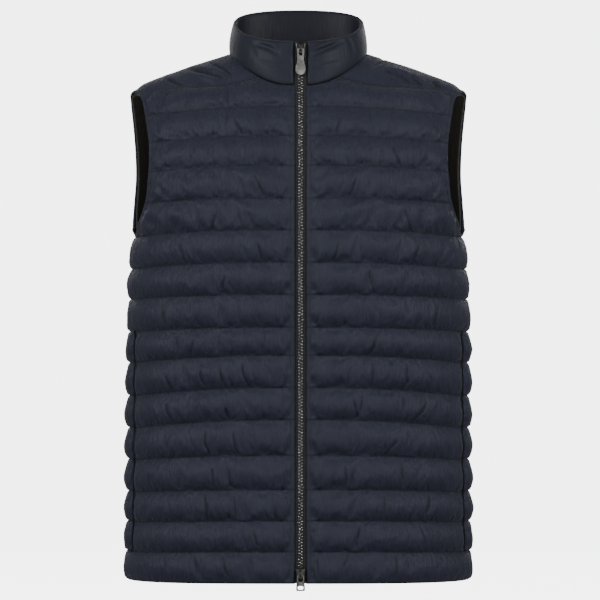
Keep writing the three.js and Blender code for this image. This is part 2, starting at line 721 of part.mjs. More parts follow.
// Sliders and pulls. Heights are from the slider's own top, depths from the zip's path.
const SLIDER = { wide: 13.3, narrow: 8.6, long: 15.5, shoulder: 10.5, face: -3, faceBack: 0.2 };
const SLIDER_BACK = { front: 2.8, back: 4.2 };
const POST = { wide: 5.6, long: 8 };
const BRIDGE = { wide: 2.4, thick: 1.2, open: 3.4, top: 2.6, bottom: 11.8 };
const PULL = { thick: 1.6, bar: 1.4, pivotUp: 1.3 };
const PULL_PLAY = 0.95; // between the bridge and each side of the pull's slot
const TOP_SLIDER_Z = 12.2;
const BOTTOM_SLIDER_Z = -647.6;

// An outline in x and z, from a front depth to a back depth.
function plate(outline, front, back) {
  const geometry = new THREE.ExtrudeGeometry(outline, {
    depth: back - front,
    bevelEnabled: false,
    curveSegments: 8,
  });
  return geometry.rotateX(Math.PI / 2).translate(0, back, 0);
}

function solidOf(geometry) {
  const bare = geometry.clone();
  bare.deleteAttribute("normal");
  bare.deleteAttribute("uv");
  const merged = mergeVertices(bare, 1e-4);
  const vertProperties = merged.attributes.position.array;
  const triVerts = new Uint32Array(merged.index.array);
  return new wasm.Manifold(new wasm.Mesh({ numProp: 3, vertProperties, triVerts }));
}

function joined(geometries) {
  const whole = geometries.map(solidOf).reduce((a, b) => a.add(b)).getMesh();
  const geometry = new THREE.BufferGeometry();
  geometry.setAttribute("position", new THREE.BufferAttribute(whole.vertProperties, 3));
  geometry.setIndex(new THREE.BufferAttribute(whole.triVerts, 1));
  return geometry;
}

function sliderOutline() {
  const outline = new THREE.Shape();
  const wide = SLIDER.wide / 2;
  const narrow = SLIDER.narrow / 2;
  outline.moveTo(-wide + 2, 0);
  outline.lineTo(wide - 2, 0);
  outline.quadraticCurveTo(wide, 0, wide, -2);
  outline.lineTo(wide - 0.6, -SLIDER.shoulder);
  outline.quadraticCurveTo(narrow, -SLIDER.long + 1, narrow - 1, -SLIDER.long);
  outline.lineTo(1 - narrow, -SLIDER.long);
  outline.quadraticCurveTo(-narrow, -SLIDER.long + 1, 0.6 - wide, -SLIDER.shoulder);
  outline.lineTo(-wide, -2);
  outline.quadraticCurveTo(-wide, 0, -wide + 2, 0);
  return outline;
}

function block(wide, low, high, front, back) {
  const shape = new THREE.BoxGeometry(wide, back - front, high - low);
  return shape.translate(0, (front + back) / 2, (low + high) / 2);
}

function slider() {
  const { wide, thick, open, top, bottom } = BRIDGE;
  const outer = SLIDER.face - open - thick;
  const middle = -SLIDER.long / 2;
  const postLow = middle - POST.long / 2;
  const postHigh = middle + POST.long / 2;
  return joined([
    plate(sliderOutline(), SLIDER.face, SLIDER.faceBack),
    plate(sliderOutline(), SLIDER_BACK.front, SLIDER_BACK.back),
    block(POST.wide, postLow, postHigh, SLIDER.faceBack - 0.5, SLIDER_BACK.front + 0.5),
    block(wide, -bottom, -top, outer, outer + thick),
    block(wide, -top - thick, -top, outer, SLIDER.face + 0.5),
    block(wide, -bottom, -bottom + thick, outer, SLIDER.face + 0.5),
  ]);
}

// The pull's pivot, from the slider's top and from the zip's path.
const PIVOT = { y: SLIDER.face - BRIDGE.open / 2, z: -BRIDGE.bottom + BRIDGE.thick + PULL.pivotUp };

// Pulls, with the pivot at 0: the top edge of the bar is half a bar above it.
function barrelOutline(stations) {
  const outline = new THREE.Shape();
  const right = stations.map(({ down, half }) => new THREE.Vector2(half, PULL.bar / 2 - down));
  const left = [...right].reverse().map((p) => new THREE.Vector2(-p.x, p.y));
  outline.setFromPoints([...right, ...left]);
  return outline;
}

function slotHole(half, top, bottom) {
  const hole = new THREE.Path();
  hole.moveTo(-half, -top);
  hole.lineTo(-half, -bottom);
  hole.lineTo(half, -bottom);
  hole.lineTo(half, -top);
  hole.closePath();
  return hole;
}

// Half width of the long pull by distance from its top: a waist, then a round paddle end.
const TOP_PULL = [
  { down: 0, half: 3.9 },
  { down: 0.8, half: 4.5 },
  { down: 8.5, half: 4.5 },
  { down: 14.5, half: 3.8 },
  { down: 18, half: 4.5 },
  { down: 22, half: 5.9 },
  { down: 25.5, half: 6.3 },
  { down: 28.5, half: 6 },
  { down: 31, half: 4.8 },
  { down: 32.6, half: 3 },
  { down: 33.3, half: 1.1 },
];
const BOTTOM_PULL = [
  { down: 0, half: 3.9 },
  { down: 0.8, half: 4.6 },
  { down: 8, half: 4.7 },
  { down: 13.5, half: 5.4 },
  { down: 18.9, half: 5.4 },
  { down: 19.6, half: 4.8 },
];
const SLOT_TOP = PULL.bar / 2;
const SLOT_HALF = BRIDGE.wide / 2 + PULL_PLAY;

function topPull() {
  const outline = barrelOutline(TOP_PULL);
  outline.holes.push(slotHole(SLOT_HALF, SLOT_TOP, 8.3));
  return plate(outline, -PULL.thick / 2, PULL.thick / 2);
}

function bottomPull() {
  const outline = barrelOutline(BOTTOM_PULL);
  outline.holes.push(slotHole(SLOT_HALF + 0.6, SLOT_TOP, 7));
  outline.holes.push(slotHole(4, 12.2, 17.6));
  return plate(outline, -PULL.thick / 2, PULL.thick / 2);
}

const vest = new THREE.Group();

function place(parent, name, geometry, finish) {
  const material = new THREE.MeshStandardMaterial(finish);
  const mesh = new THREE.Mesh(geometry, material);
  mesh.name = name;
  parent.add(mesh);
  return mesh;
}

const fronts = { right: frontWall(-1), left: frontWall(1) };
place(vest, "front_right", fronts.right.geometry, NAVY);
place(vest, "front_left", fronts.left.geometry, NAVY);
place(vest, "back", backWall(), NAVY);
place(vest, "collar", collar(), NAVY);
place(vest, "armhole_binding_right", armholeBinding(-1), BLACK_ELASTIC);
place(vest, "armhole_binding_left", armholeBinding(1), BLACK_ELASTIC);
place(vest, "pocket_welt_right", pocketWelt(-1, fronts.right), NAVY);
place(vest, "pocket_welt_left", pocketWelt(1, fronts.left), NAVY);

const chainEdge = CHAIN.width / 2;
const tapeRun = { low: TAPE.low, high: COLLAR_FRONT_Z - 1, front: TAPE.front, back: TAPE.back };
const tapeInner = chainEdge + SEAM_GAP;
const tapeOuter = ZIP_SPACE / 2 - SEAM_GAP;
place(vest, "zip_tape_right", zipStrip({ ...tapeRun, from: -tapeOuter, to: -tapeInner }), BLACK_TAPE);
place(vest, "zip_tape_left", zipStrip({ ...tapeRun, from: tapeInner, to: tapeOuter }), BLACK_TAPE);
const chainRun = {
  low: BOTTOM_SLIDER_Z + SEAM_GAP,
  high: TOP_SLIDER_Z - SLIDER.long - SEAM_GAP,
  from: -chainEdge,
  to: chainEdge,
  front: CHAIN.front,
  back: CHAIN.back,
};
place(vest, "zip_chain", zipStrip(chainRun), GUNMETAL);

// A slider at a height, and its pull on a group of its own that turns about the bridge.
function sliderAndPull(name, topZ, pull) {
  const seat = new THREE.Group();
  seat.position.set(ZIP_CENTRE, zipY(topZ - SLIDER.long / 2), topZ);
  vest.add(seat);
  place(seat, `${name}_slider`, slider(), GUNMETAL);
  const pivot = new THREE.Group();
  pivot.position.set(0, PIVOT.y, PIVOT.z);
  seat.add(pivot);
  place(pivot, `${name}_pull`, pull, GUNMETAL);
}

sliderAndPull("top", TOP_SLIDER_Z, topPull());
sliderAndPull("bottom", BOTTOM_SLIDER_Z, bottomPull());

export default vest;
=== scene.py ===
"""Looks of one quilted vest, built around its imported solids.

Sizes in this file are millimetres in the part's own frame: +X is the wearer's left, the front faces
-Y, and the origin is the middle of the neck base. Meshes are made in metres.
"""

import logging
import math
from dataclasses import dataclass, field
from enum import Enum
from functools import lru_cache
from typing import Any, Callable, Iterable, Sequence

import bmesh
import bpy
import numpy as np
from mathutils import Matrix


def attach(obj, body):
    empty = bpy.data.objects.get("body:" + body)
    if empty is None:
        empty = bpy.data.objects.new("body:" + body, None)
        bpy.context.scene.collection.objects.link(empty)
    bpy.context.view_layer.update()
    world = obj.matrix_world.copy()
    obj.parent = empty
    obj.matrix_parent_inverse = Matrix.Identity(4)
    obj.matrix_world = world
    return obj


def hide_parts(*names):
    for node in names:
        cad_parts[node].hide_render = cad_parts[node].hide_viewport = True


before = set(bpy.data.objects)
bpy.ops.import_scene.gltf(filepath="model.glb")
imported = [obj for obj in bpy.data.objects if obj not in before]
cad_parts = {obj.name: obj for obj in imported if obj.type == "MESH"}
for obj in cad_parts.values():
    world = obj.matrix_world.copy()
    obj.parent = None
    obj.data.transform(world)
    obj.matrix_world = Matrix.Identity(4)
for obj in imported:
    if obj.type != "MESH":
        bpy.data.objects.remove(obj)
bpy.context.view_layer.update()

MM = 0.001
BODY_NAME = "vest"
LOG = logging.getLogger("quilted_vest")

Array = np.ndarray
Piece = bpy.types.Object


class Side(Enum):
    """Which face of the garment a surface belongs to."""

    FRONT = -1
    BACK = 1


class Hand(Enum):
    """The wearer's right or left, as the sign of X."""

    RIGHT = -1
    LEFT = 1

    @property
    def label(self) -> str:
        """The word that piece names use."""
        return self.name.lower()


# ---- Plain numbers ----


def lerp(a: Any, b: Any, t: Any) -> Any:
    """The value that lies the share t of the way from a to b."""
    return a + (b - a) * t


def smoothstep(x: Any, low: float, high: float) -> Any:
    """0 below low, 1 above high and a smooth rise between them."""
    t = np.clip((x - low) / (high - low), 0.0, 1.0)
    return t * t * (3 - 2 * t)


def unit(vectors: Array) -> Array:
    """The same directions with length 1."""
    length = np.linalg.norm(vectors, axis=-1, keepdims=True)
    return vectors / np.maximum(length, 1e-9)


def row_lengths(points: Array) -> Array:
    """Distance of each point along its row from the row's first point."""
    steps = np.linalg.norm(np.diff(points, axis=-2), axis=-1)
    return np.concatenate([np.zeros((*steps.shape[:-1], 1)), np.cumsum(steps, axis=-1)], axis=-1)


@dataclass(frozen=True)
class Curve:
    """A smooth line through the rows of a short table."""

    keys: tuple[float, ...]
    values: tuple[float, ...]

    @classmethod
    def through(cls, *rows: tuple[float, float]) -> "Curve":
        """A curve through (key, value) rows in any order."""
        ordered = sorted(rows)
        return cls(tuple(r[0] for r in ordered), tuple(r[1] for r in ordered))

    def __call__(self, at: Any) -> Array:
        """Reads the curve.

        Args:
            at: One key or an array of keys; those past the ends read the end.

        Returns:
            The values there.
        """
        keys = np.asarray(self.keys, float)
        values = np.asarray(self.values, float)
        slopes = np.empty_like(values)
        slopes[1:-1] = (values[2:] - values[:-2]) / (keys[2:] - keys[:-2])
        slopes[0] = (values[1] - values[0]) / (keys[1] - keys[0])
        slopes[-1] = (values[-1] - values[-2]) / (keys[-1] - keys[-2])
        place = np.clip(np.asarray(at, float), keys[0], keys[-1])
        i = np.clip(np.searchsorted(keys, place, side="left"), 1, len(keys) - 1)
        span = keys[i] - keys[i - 1]
        t = (place - keys[i - 1]) / span
        rest = 1 - t
        ends = values[i - 1] * rest**2 * (1 + 2 * t) + values[i] * t**2 * (3 - 2 * t)
        return ends + span * (slopes[i - 1] * t * rest**2 - slopes[i] * t**2 * rest)


# ---- The sewn surface, as in the part's source ----


@dataclass(frozen=True)
class SewnLine:
    """One stitched line: its height at four places, and the puff of the channel above it."""

    zip: float
    side: float
    middle: float
    behind: float
    puff: float


ARMPIT_Z = -233.2
SEWN_LINES = (
    SewnLine(-666.2, -669.6, -672, -669.6, 5.6),
    SewnLine(-627.9, -634.3, -631, -634.3, 6.4),
    SewnLine(-589.3, -596.3, -593, -596.3, 6.4),
    SewnLine(-550.3, -558.2, -555, -558.2, 6.6),
    SewnLine(-507.4, -517.3, -514, -517.3, 6.6),
    SewnLine(-462.8, -477.2, -474, -477.2, 6.4),
    SewnLine(-422.8, -436.3, -433, -436.3, 6.2),
    SewnLine(-382.4, -393.8, -391, -393.8, 6.2),
    SewnLine(-347.5, -354, -351, -354, 5.8),
    SewnLine(-306.6, -312.5, -309, -312.5, 5.4),
    SewnLine(-266.5, -273.8, -270, -273.8, 5.2),
    SewnLine(-226.1, ARMPIT_Z, -229, ARMPIT_Z, 5),
    SewnLine(-186.8, -190.6, -189, -192, 4.8),
    SewnLine(-145.3, -151.4, -149, -152, 4.6),
    SewnLine(-107.9, -114.3, -108, -116, 4.6),
    SewnLine(-70.4, -78.6, -68, -86, 4),
    SewnLine(-29, -62, -29, -62, 4),
)
ARMPIT_LINE = 11
FRONT_TOP_LINE = 15
BACK_TOP_LINE = 16
POCKET_COLUMN = 9.0
POCKET_LOW = 1.0
POCKET_HIGH = 8.0
CHANNEL_HEIGHT = 40.0
# painted shade: cloth within SEAM_SHADE of a stitched line is painted darker; FAR_FROM_LINE means no painted shade
SEAM_SHADE = 2.2
FAR_FROM_LINE = 4.0
# the value that paints a slit near black, as painted shadow
SLIT_PAINTED_SHADOW = -3.0
FRONT_ANGLES = (2, 3.2, 9, 17, 26, 36, 47, 58, 66, 71.2, 74.6, 82, 90)
BACK_ANGLES = (0, 5.5, 12, 19, 27, 36, 45, 54, 63, 71, 78, 84.5, 90)
COLUMNS = 12
NECK_COLUMNS = 3
BODY_HALF_AT_ARMPIT = 210


def line_height(place: str, level: Any, last: int) -> Array:
    """Height of the sewn lines, and between them, at one of their four places."""
    return np.interp(level, np.arange(last + 1), [getattr(s, place) for s in SEWN_LINES[: last + 1]])


def line_distance(share: Array) -> Array:
    """Distance from the nearest stitched line at shares of a channel's height."""
    return np.minimum(share, 1 - share) * CHANNEL_HEIGHT


@dataclass(frozen=True)
class VestForm:
    """The surface that every stitched line lies on, from the hem over the shoulders."""

    squareness: float = 2.3
    ridge_squareness: float = 2.3
    ridge_y: float = 5
    zip_centre: float = 2.7
    zip_space: float = 18.2
    stitch_margin: float = 6
    blend_low: float = -250
    blend_high: float = -130
    neck_half: float = 88
    neck_front: float = 88.6
    neck_back: float = 50
    neck_front_squareness: float = 2.2
    neck_back_squareness: float = 2.3
    seam_neck_x: float = 50
    seam_neck_angle: float = 128.5
    seam_arm_x: float = 205.6
    seam_arm_angle: float = 107.3
    behind_neck_x: float = 70
    behind_arm_x: float = 218
    behind_arm_angle: float = 80

    body_half: Curve = Curve.through(
        (-233.2, 210), (-274, 214), (-312, 215.5), (-394, 217), (-517, 217.8), (-634, 219.4), (-675, 220.6)
    )
    body_front: Curve = Curve.through(
        (-233.2, 124), (-274, 123.5), (-312, 122), (-394, 118), (-517, 117), (-634, 119), (-675, 120)
    )
    body_back: Curve = Curve.through(
        (-233.2, 120), (-274, 115), (-312, 110), (-394, 103.5), (-517, 105), (-634, 113), (-675, 115)
    )
    upper_front: Curve = Curve.through((-233.2, 210), (-200, 215.5), (-150, 225), (0, 225))
    upper_back: Curve = Curve.through((-233.2, 210), (-200, 218.5), (-150, 231), (0, 233))
    ridge: Curve = Curve.through(
        (0, 28), (50, 15.5), (89, 0), (142, -17), (181, -31), (203, -40), (218, -47), (240, -59)
    )
    armhole_front: Curve = Curve.through(
        (-47, 206), (-60.6, 199.3), (-77, 195.9), (-95, 192.6), (-113, 190), (-139, 189.2),
        (-163, 190.8), (-183, 193), (-198, 197), (-212, 202.6), (-224, 206.8), (-233.2, 210),
    )
    armhole_back: Curve = Curve.through(
        (-47, 218.6), (-70, 217), (-95, 215), (-121, 213.5), (-147, 212.8), (-172, 213.6),
        (-198, 214.6), (-220, 213.4), (-233.2, 210),
    )

    # -- the girth and how it closes over the shoulders

    def half_at(self, back: Any, z: Any) -> Array:
        """Half the width at a height, of the back where back is true and else of the front."""
        upper = np.where(back, self.upper_back(z), self.upper_front(z))
        return np.where(z <= ARMPIT_Z, self.body_half(z), upper)

    def depth_at(self, back: Any, z: Any) -> Array:
        """How far the girth reaches back or forward at a height."""
        level = np.minimum(z, ARMPIT_Z)
        return np.where(back, self.body_back(level), self.body_front(level))

    def rise_at(self, x: Any, z: Any) -> Array:
        """How far up from armpit level to the ridge of the shoulder, from 0 to 1."""
        return np.maximum(0, (z - ARMPIT_Z) / (self.ridge(np.abs(x)) - ARMPIT_Z))

    def rounding_at(self, back: Any, x: Any, z: Any) -> Array:
        """What is left of the depth at x because the girth is round."""
        share = np.minimum(1, np.abs(x) / self.half_at(back, z))
        return (1 - share**self.squareness) ** (1 / self.squareness)

    def middle_y(self, x: Any, z: Any) -> Array:
        """The middle between front and back, which moves to the ridge of the shoulder."""
        return self.ridge_y * smoothstep(self.rise_at(x, z), 0, 1)

    def closing_at(self, rise: Any) -> Array:
        """What is left of the depth where front and back close in on each other."""
        return np.sqrt(np.maximum(0, 1 - rise**self.ridge_squareness))

    def wall_y(self, side: Side, x: Any, z: Any) -> Array:
        """Depth of the sewn surface at x and z."""
        back = side is Side.BACK
        reach = self.depth_at(back, z) * self.rounding_at(back, x, z)
        return self.middle_y(x, z) + side.value * (reach * self.closing_at(self.rise_at(x, z)))

    def shoulder_point(self, x: Any, angle: Any) -> Array:
        """Points over the shoulder.

        Args:
            x: Distance from the middle.
            angle: 0 at the back at armpit level, 90 on the ridge, 180 at the front.

        Returns:
            Points, with X, Y and Z along the last axis.
        """
        turn = np.radians(angle)
        back = angle <= 90
        z = ARMPIT_Z + np.sin(turn) ** (2 / self.ridge_squareness) * (self.ridge(x) - ARMPIT_Z)
        reach = self.depth_at(back, z) * self.rounding_at(back, x, z)
        y = self.middle_y(x, z) + np.where(back, 1, -1) * reach * np.abs(np.cos(turn))
        return np.stack(np.broadcast_arrays(x, y, z), axis=-1)

    def angle_at(self, x: Any, z: Any) -> Array:
        """The angle over the shoulder of a point of the back."""
        share = self.rise_at(x, z) ** (self.ridge_squareness / 2)
        return np.degrees(np.arcsin(np.minimum(1, share)))

    # -- the neck seam

    def neck_outline(self, turn: Any, half: float, front: float, back: float) -> tuple[Array, Array]:
        """The neck seen from above.

        Args:
            turn: 0 in the middle of the front to 180 in the middle of the back.
            half: Half the width.
            front: Reach forwards.
            back: Reach backwards.

        Returns:
            X and Y.
        """
        angle = np.radians(turn)
        ahead = np.asarray(turn) < 90
        squareness = np.where(ahead, self.neck_front_squareness, self.neck_back_squareness)
        reach = np.where(ahead, -front, back)
        x = half * np.abs(np.sin(angle)) ** (2 / squareness)
        return x, reach * np.abs(np.cos(angle)) ** (2 / squareness)

    def neck_turn(self, x: Any, ahead: bool) -> Array:
        """The turn round the neck at a distance from the middle."""
        squareness = self.neck_front_squareness if ahead else self.neck_back_squareness
        turn = np.degrees(np.arcsin((np.asarray(x) / self.neck_half) ** (squareness / 2)))
        return turn if ahead else 180 - turn

    def neck_place(self, turn: Any) -> tuple[Array, Array]:
        """The neck seam as X and angle over the shoulder."""
        x, y = self.neck_outline(turn, self.neck_half, self.neck_front, self.neck_back)
        back = y >= 0
        reach = self.depth_at(back, 0.0) * self.rounding_at(back, x, 0.0)
        return x, np.degrees(np.arccos(y / reach))

    @property
    def turns_beside_neck(self) -> tuple[float, float]:
        """The turns where the line behind the ridge and the forward seam meet the neck."""
        behind = self.neck_turn(self.behind_neck_x, False)
        return float(behind), float(self.neck_turn(self.seam_neck_x, True))

    def zip_edge(self, hand: Hand) -> float:
        """Distance of a front's edge from the middle."""
        return self.zip_space / 2 + hand.value * self.zip_centre

    # -- the panels

    def forward_seam(self, share: Any) -> tuple[Array, Array]:
        """The forward shoulder seam from the neck, 0, to the armhole, 1, as X and angle."""
        x = lerp(self.seam_neck_x, self.seam_arm_x, share)
        return x, lerp(self.seam_neck_angle, self.seam_arm_angle, share**2)

    def front_top(self, edge: float, column: Array) -> Array:
        """The upper edge of a front: the neck seam, then the forward seam."""
        inner = edge + self.stitch_margin
        between = lerp(inner, self.seam_neck_x, 0.5)
        xs = Curve.through((0, edge), (1, inner), (2, between), (3, self.seam_neck_x))
        neck_x = np.minimum(xs(column), self.seam_neck_x)
        at_neck = self.shoulder_point(*self.neck_place(self.neck_turn(neck_x, True)))
        share = np.maximum(0, (column - NECK_COLUMNS) / (COLUMNS - NECK_COLUMNS))
        at_seam = self.shoulder_point(*self.forward_seam(share))
        return np.where((column >= NECK_COLUMNS)[..., None], at_seam, at_neck)

    def front_points(self, edge: float, level: Array, column: Array) -> Array:
        """Points of a front's sewn surface.

        Args:
            edge: Distance of the zip edge from the middle.
            level: Sewn lines counted up from the hem.
            column: Place between the zip, 0, and the side seam, 12.

        Returns:
            Points for the wearer's left front, one for each level and column.
        """
        width = self.body_half.values[-1] - edge
        margin = self.stitch_margin / width
        half = BODY_HALF_AT_ARMPIT
        reach = [np.sin(np.radians(a)) ** (2 / self.squareness) for a in FRONT_ANGLES]
        places = [k * margin if k < 2 else (half * r - edge) / (half - edge) for k, r in enumerate(reach)]
        low = Curve.through(*enumerate(places))(column)
        high = np.where(column < 1, column * margin, lerp(margin, 1, (column - 1) / (COLUMNS - 1)))
        top_line = SEWN_LINES[FRONT_TOP_LINE]
        up = np.maximum(0, level - FRONT_TOP_LINE)
        side_z = line_height("side", level, FRONT_TOP_LINE)
        zip_z = line_height("zip", level, FRONT_TOP_LINE)
        share = lerp(low, high, smoothstep(side_z, self.blend_low, self.blend_high))
        z = lerp(zip_z, side_z, share**2)
        top = self.front_top(edge, column)
        top_side_z = self.front_top(edge, np.array([float(COLUMNS)]))[0, 2]
        side_now = np.where(up > 0, lerp(top_line.side, top_side_z, up), side_z)
        side_x = np.where(side_now <= ARMPIT_Z, self.body_half(side_now), self.armhole_front(side_now))
        top_share = (top[..., 0] - edge) / (self.seam_arm_x - edge)
        x = lerp(edge, side_x, lerp(share, top_share, up))
        z = lerp(z, top[..., 2], up)
        return np.stack([x, self.wall_y(Side.FRONT, x, z), z], axis=-1)

    def back_points(self, level: Array, column: Array) -> Array:
        """Points of the left half of the back's sewn surface.

        Args:
            level: Sewn lines counted up from the hem; 17 is the line behind the ridge and 19 the seam.
            column: Place between the middle, 0, and the side seam, 12.

        Returns:
            Points, one for each level and column.
        """
        straight = self._straight_back(np.minimum(level, BACK_TOP_LINE), column)
        x, z = straight[..., 0], straight[..., 2]
        line_angle = self.angle_at(x, z)
        neck_turn, seam_turn = self.turns_beside_neck
        share = (column - NECK_COLUMNS) / (COLUMNS - NECK_COLUMNS)
        beside = np.maximum(share, 0)
        inner_x, inner_angle = self.neck_place(lerp(180, neck_turn, np.clip(column / NECK_COLUMNS, 0, 1)))
        ridge_x = np.where(share > 0, lerp(inner_x, self.behind_arm_x, beside), inner_x)
        ridge_angle = np.where(share > 0, lerp(inner_angle, self.behind_arm_angle, beside), inner_angle)
        to_ridge = np.clip(level - BACK_TOP_LINE, 0, 1)
        near = self.shoulder_point(lerp(x, ridge_x, to_ridge), lerp(line_angle, ridge_angle, to_ridge))
        t = np.clip((level - BACK_TOP_LINE - 1) / 2, 0, 1)
        over_x, over_angle = self.neck_place(lerp(neck_turn, seam_turn, t))
        outer_x = lerp(self.behind_arm_x, self.seam_arm_x, t**1.5)
        outer_angle = lerp(self.behind_arm_angle, self.seam_arm_angle, t)
        over_turn = lerp(over_angle, outer_angle, beside ** (1 + t))
        over = self.shoulder_point(lerp(over_x, outer_x, beside), over_turn)
        above = ((level > BACK_TOP_LINE + 1) & (share >= 0))[..., None]
        points = np.where((level > BACK_TOP_LINE)[..., None], near, straight)
        return np.where(above, over, points)

    def _straight_back(self, level: Array, column: Array) -> Array:
        """Points of the back where its sewn lines are straight."""
        side_z = line_height("behind", level, BACK_TOP_LINE)
        middle_z = line_height("middle", level, BACK_TOP_LINE)
        low = Curve.through(
            *((k, np.sin(np.radians(a)) ** (2 / self.squareness)) for k, a in enumerate(BACK_ANGLES))
        )(column)
        neck_share = self.behind_neck_x / self.behind_arm_x
        high = np.where(
            column <= NECK_COLUMNS,
            neck_share * column / NECK_COLUMNS,
            lerp(neck_share, 1, (column - NECK_COLUMNS) / (COLUMNS - NECK_COLUMNS)),
        )
        share = lerp(low, high, smoothstep(side_z, self.blend_low, self.blend_high))
        z = lerp(middle_z, side_z, share**2)
        x = share * np.where(side_z <= ARMPIT_Z, self.body_half(side_z), self.armhole_back(side_z))
        return np.stack([x, self.wall_y(Side.BACK, x, z), z], axis=-1)

    # -- the zip's path

    @property
    def collar_front(self) -> tuple[float, float]:
        """Depth and height of the collar's top edge in the middle of the front."""
        depth = self.ridge_y - Collar.top_front
        return depth, Collar.top_side_z + Collar.top_tilt * depth

    def zip_y(self, z: Any) -> Array:
        """Depth of the zip's path at a height."""
        neck = self.shoulder_point(*self.neck_place(self.neck_turn(self.zip_centre, True)))
        top_y, top_z = self.collar_front
        up = np.clip((z - neck[2]) / (top_z - neck[2]), 0, 1)
        wall = self.wall_y(Side.FRONT, self.zip_centre, np.minimum(z, neck[2]))
        return np.where(z <= neck[2], wall, lerp(neck[1], top_y, up))


# ---- Meshes ----


def placed(name: str, data: bpy.types.ID) -> Piece:
    """A new object in the scene, at the origin."""
    obj = bpy.data.objects.new(name, data)
    bpy.context.scene.collection.objects.link(obj)
    return obj


def mesh_object(name: str, points: Array, faces: Iterable[Sequence[int]]) -> Piece:
    """A smooth-shaded mesh object in metres from points in millimetres.

    Args:
        name: Name of the object and its mesh.
        points: One row for each point.
        faces: Point numbers of each face.

    Returns:
        The object, at the origin.
    """
    mesh = bpy.data.meshes.new(name)
    mesh.from_pydata((np.asarray(points) * MM).tolist(), [], [list(map(int, f)) for f in faces])
    mesh.validate()
    mesh.shade_smooth()
    mesh.update()
    return placed(name, mesh)


def turn_outwards(obj: Piece) -> None:
    """Turns the faces of a closed mesh so that they look outwards."""
    shape = bmesh.new()
    shape.from_mesh(obj.data)
    if shape.calc_volume(signed=True) < 0:
        bmesh.ops.reverse_faces(shape, faces=shape.faces[:])
    shape.to_mesh(obj.data)
    shape.free()


def set_attribute(obj: Piece, name: str, values: Array) -> None:
    """Stores one number for each point of a mesh."""
    layer = obj.data.attributes.new(name, "FLOAT", "POINT")
    layer.data.foreach_set("value", np.asarray(values, np.float32))


def grid_normals(points: Array) -> Array:
    """Directions square to a grid of points, in the sense of rows times columns."""
    along_rows = np.gradient(points, axis=0)
    along_columns = np.gradient(points, axis=1)
    return unit(np.cross(along_columns, along_rows))


@dataclass
class WallGrid:
    """A closed wall: a finely divided outer grid over a plain inner one.

    Attributes:
        outer: Rows by columns of outer points.
        inner: The same grid of inner points, of which only some rows and columns are used.
        rows: The rows that the inner side uses.
        columns: The columns that the inner side uses.
        present: For each cell between used rows and columns, whether it is there.
    """

    outer: Array
    inner: Array
    rows: list[int]
    columns: list[int]
    present: Array

    def build(self, name: str) -> Piece:
        """Makes the wall's mesh, closed round its edges.

        Args:
            name: Name of the object.

        Returns:
            The object. Its first points are the outer grid's, row by row.
        """
        height, width = self.outer.shape[:2]
        count = height * width
        self.faces: list[tuple[int, ...]] = []
        for i, j in np.argwhere(self.present):
            self._cell(int(i), int(j), width, count)
        points = np.concatenate([self.outer.reshape(-1, 3), self.inner.reshape(-1, 3)])
        used = np.zeros(len(points), bool)
        for face in self.faces:
            used[list(face)] = True
        number = np.cumsum(used) - 1
        self.kept = used[:count]
        obj = mesh_object(name, points[used], (number[list(face)] for face in self.faces))
        turn_outwards(obj)
        return obj

    def _cell(self, i: int, j: int, width: int, count: int) -> None:
        """Adds the outer faces, the inner face and the open edges of one cell."""
        r0, r1 = self.rows[i], self.rows[i + 1]
        c0, c1 = self.columns[j], self.columns[j + 1]
        out = lambda r, c: r * width + c
        within = lambda r, c: count + r * width + c
        for r in range(r0, r1):
            for c in range(c0, c1):
                self.faces.append((out(r, c), out(r, c + 1), out(r + 1, c + 1), out(r + 1, c)))
        self.faces.append((within(r0, c1), within(r0, c0), within(r1, c0), within(r1, c1)))
        if not self._there(i - 1, j):
            self._rim([out(r0, c) for c in range(c1, c0 - 1, -1)], within(r0, c1), within(r0, c0))
        if not self._there(i + 1, j):
            self._rim([out(r1, c) for c in range(c0, c1 + 1)], within(r1, c0), within(r1, c1))
        if not self._there(i, j - 1):
            self._rim([out(r, c0) for r in range(r0, r1 + 1)], within(r0, c0), within(r1, c0))
        if not self._there(i, j + 1):
            self._rim([out(r, c1) for r in range(r1, r0 - 1, -1)], within(r1, c1), within(r0, c1))

    def _there(self, i: int, j: int) -> bool:
        """Whether a cell exists."""
        rows, columns = self.present.shape
        return 0 <= i < rows and 0 <= j < columns and bool(self.present[i, j])

    def _rim(self, edge: list[int], start: int, end: int) -> None:
        """Closes the gap between a run of outer points and one inner edge."""
        middle = len(edge) // 2
        for a, b in zip(edge[:middle], edge[1 : middle + 1]):
            self.faces.append((start, a, b))
        self.faces.append((start, edge[middle], end))
        for a, b in zip(edge[middle:], edge[middle + 1 :]):
            self.faces.append((end, a, b))


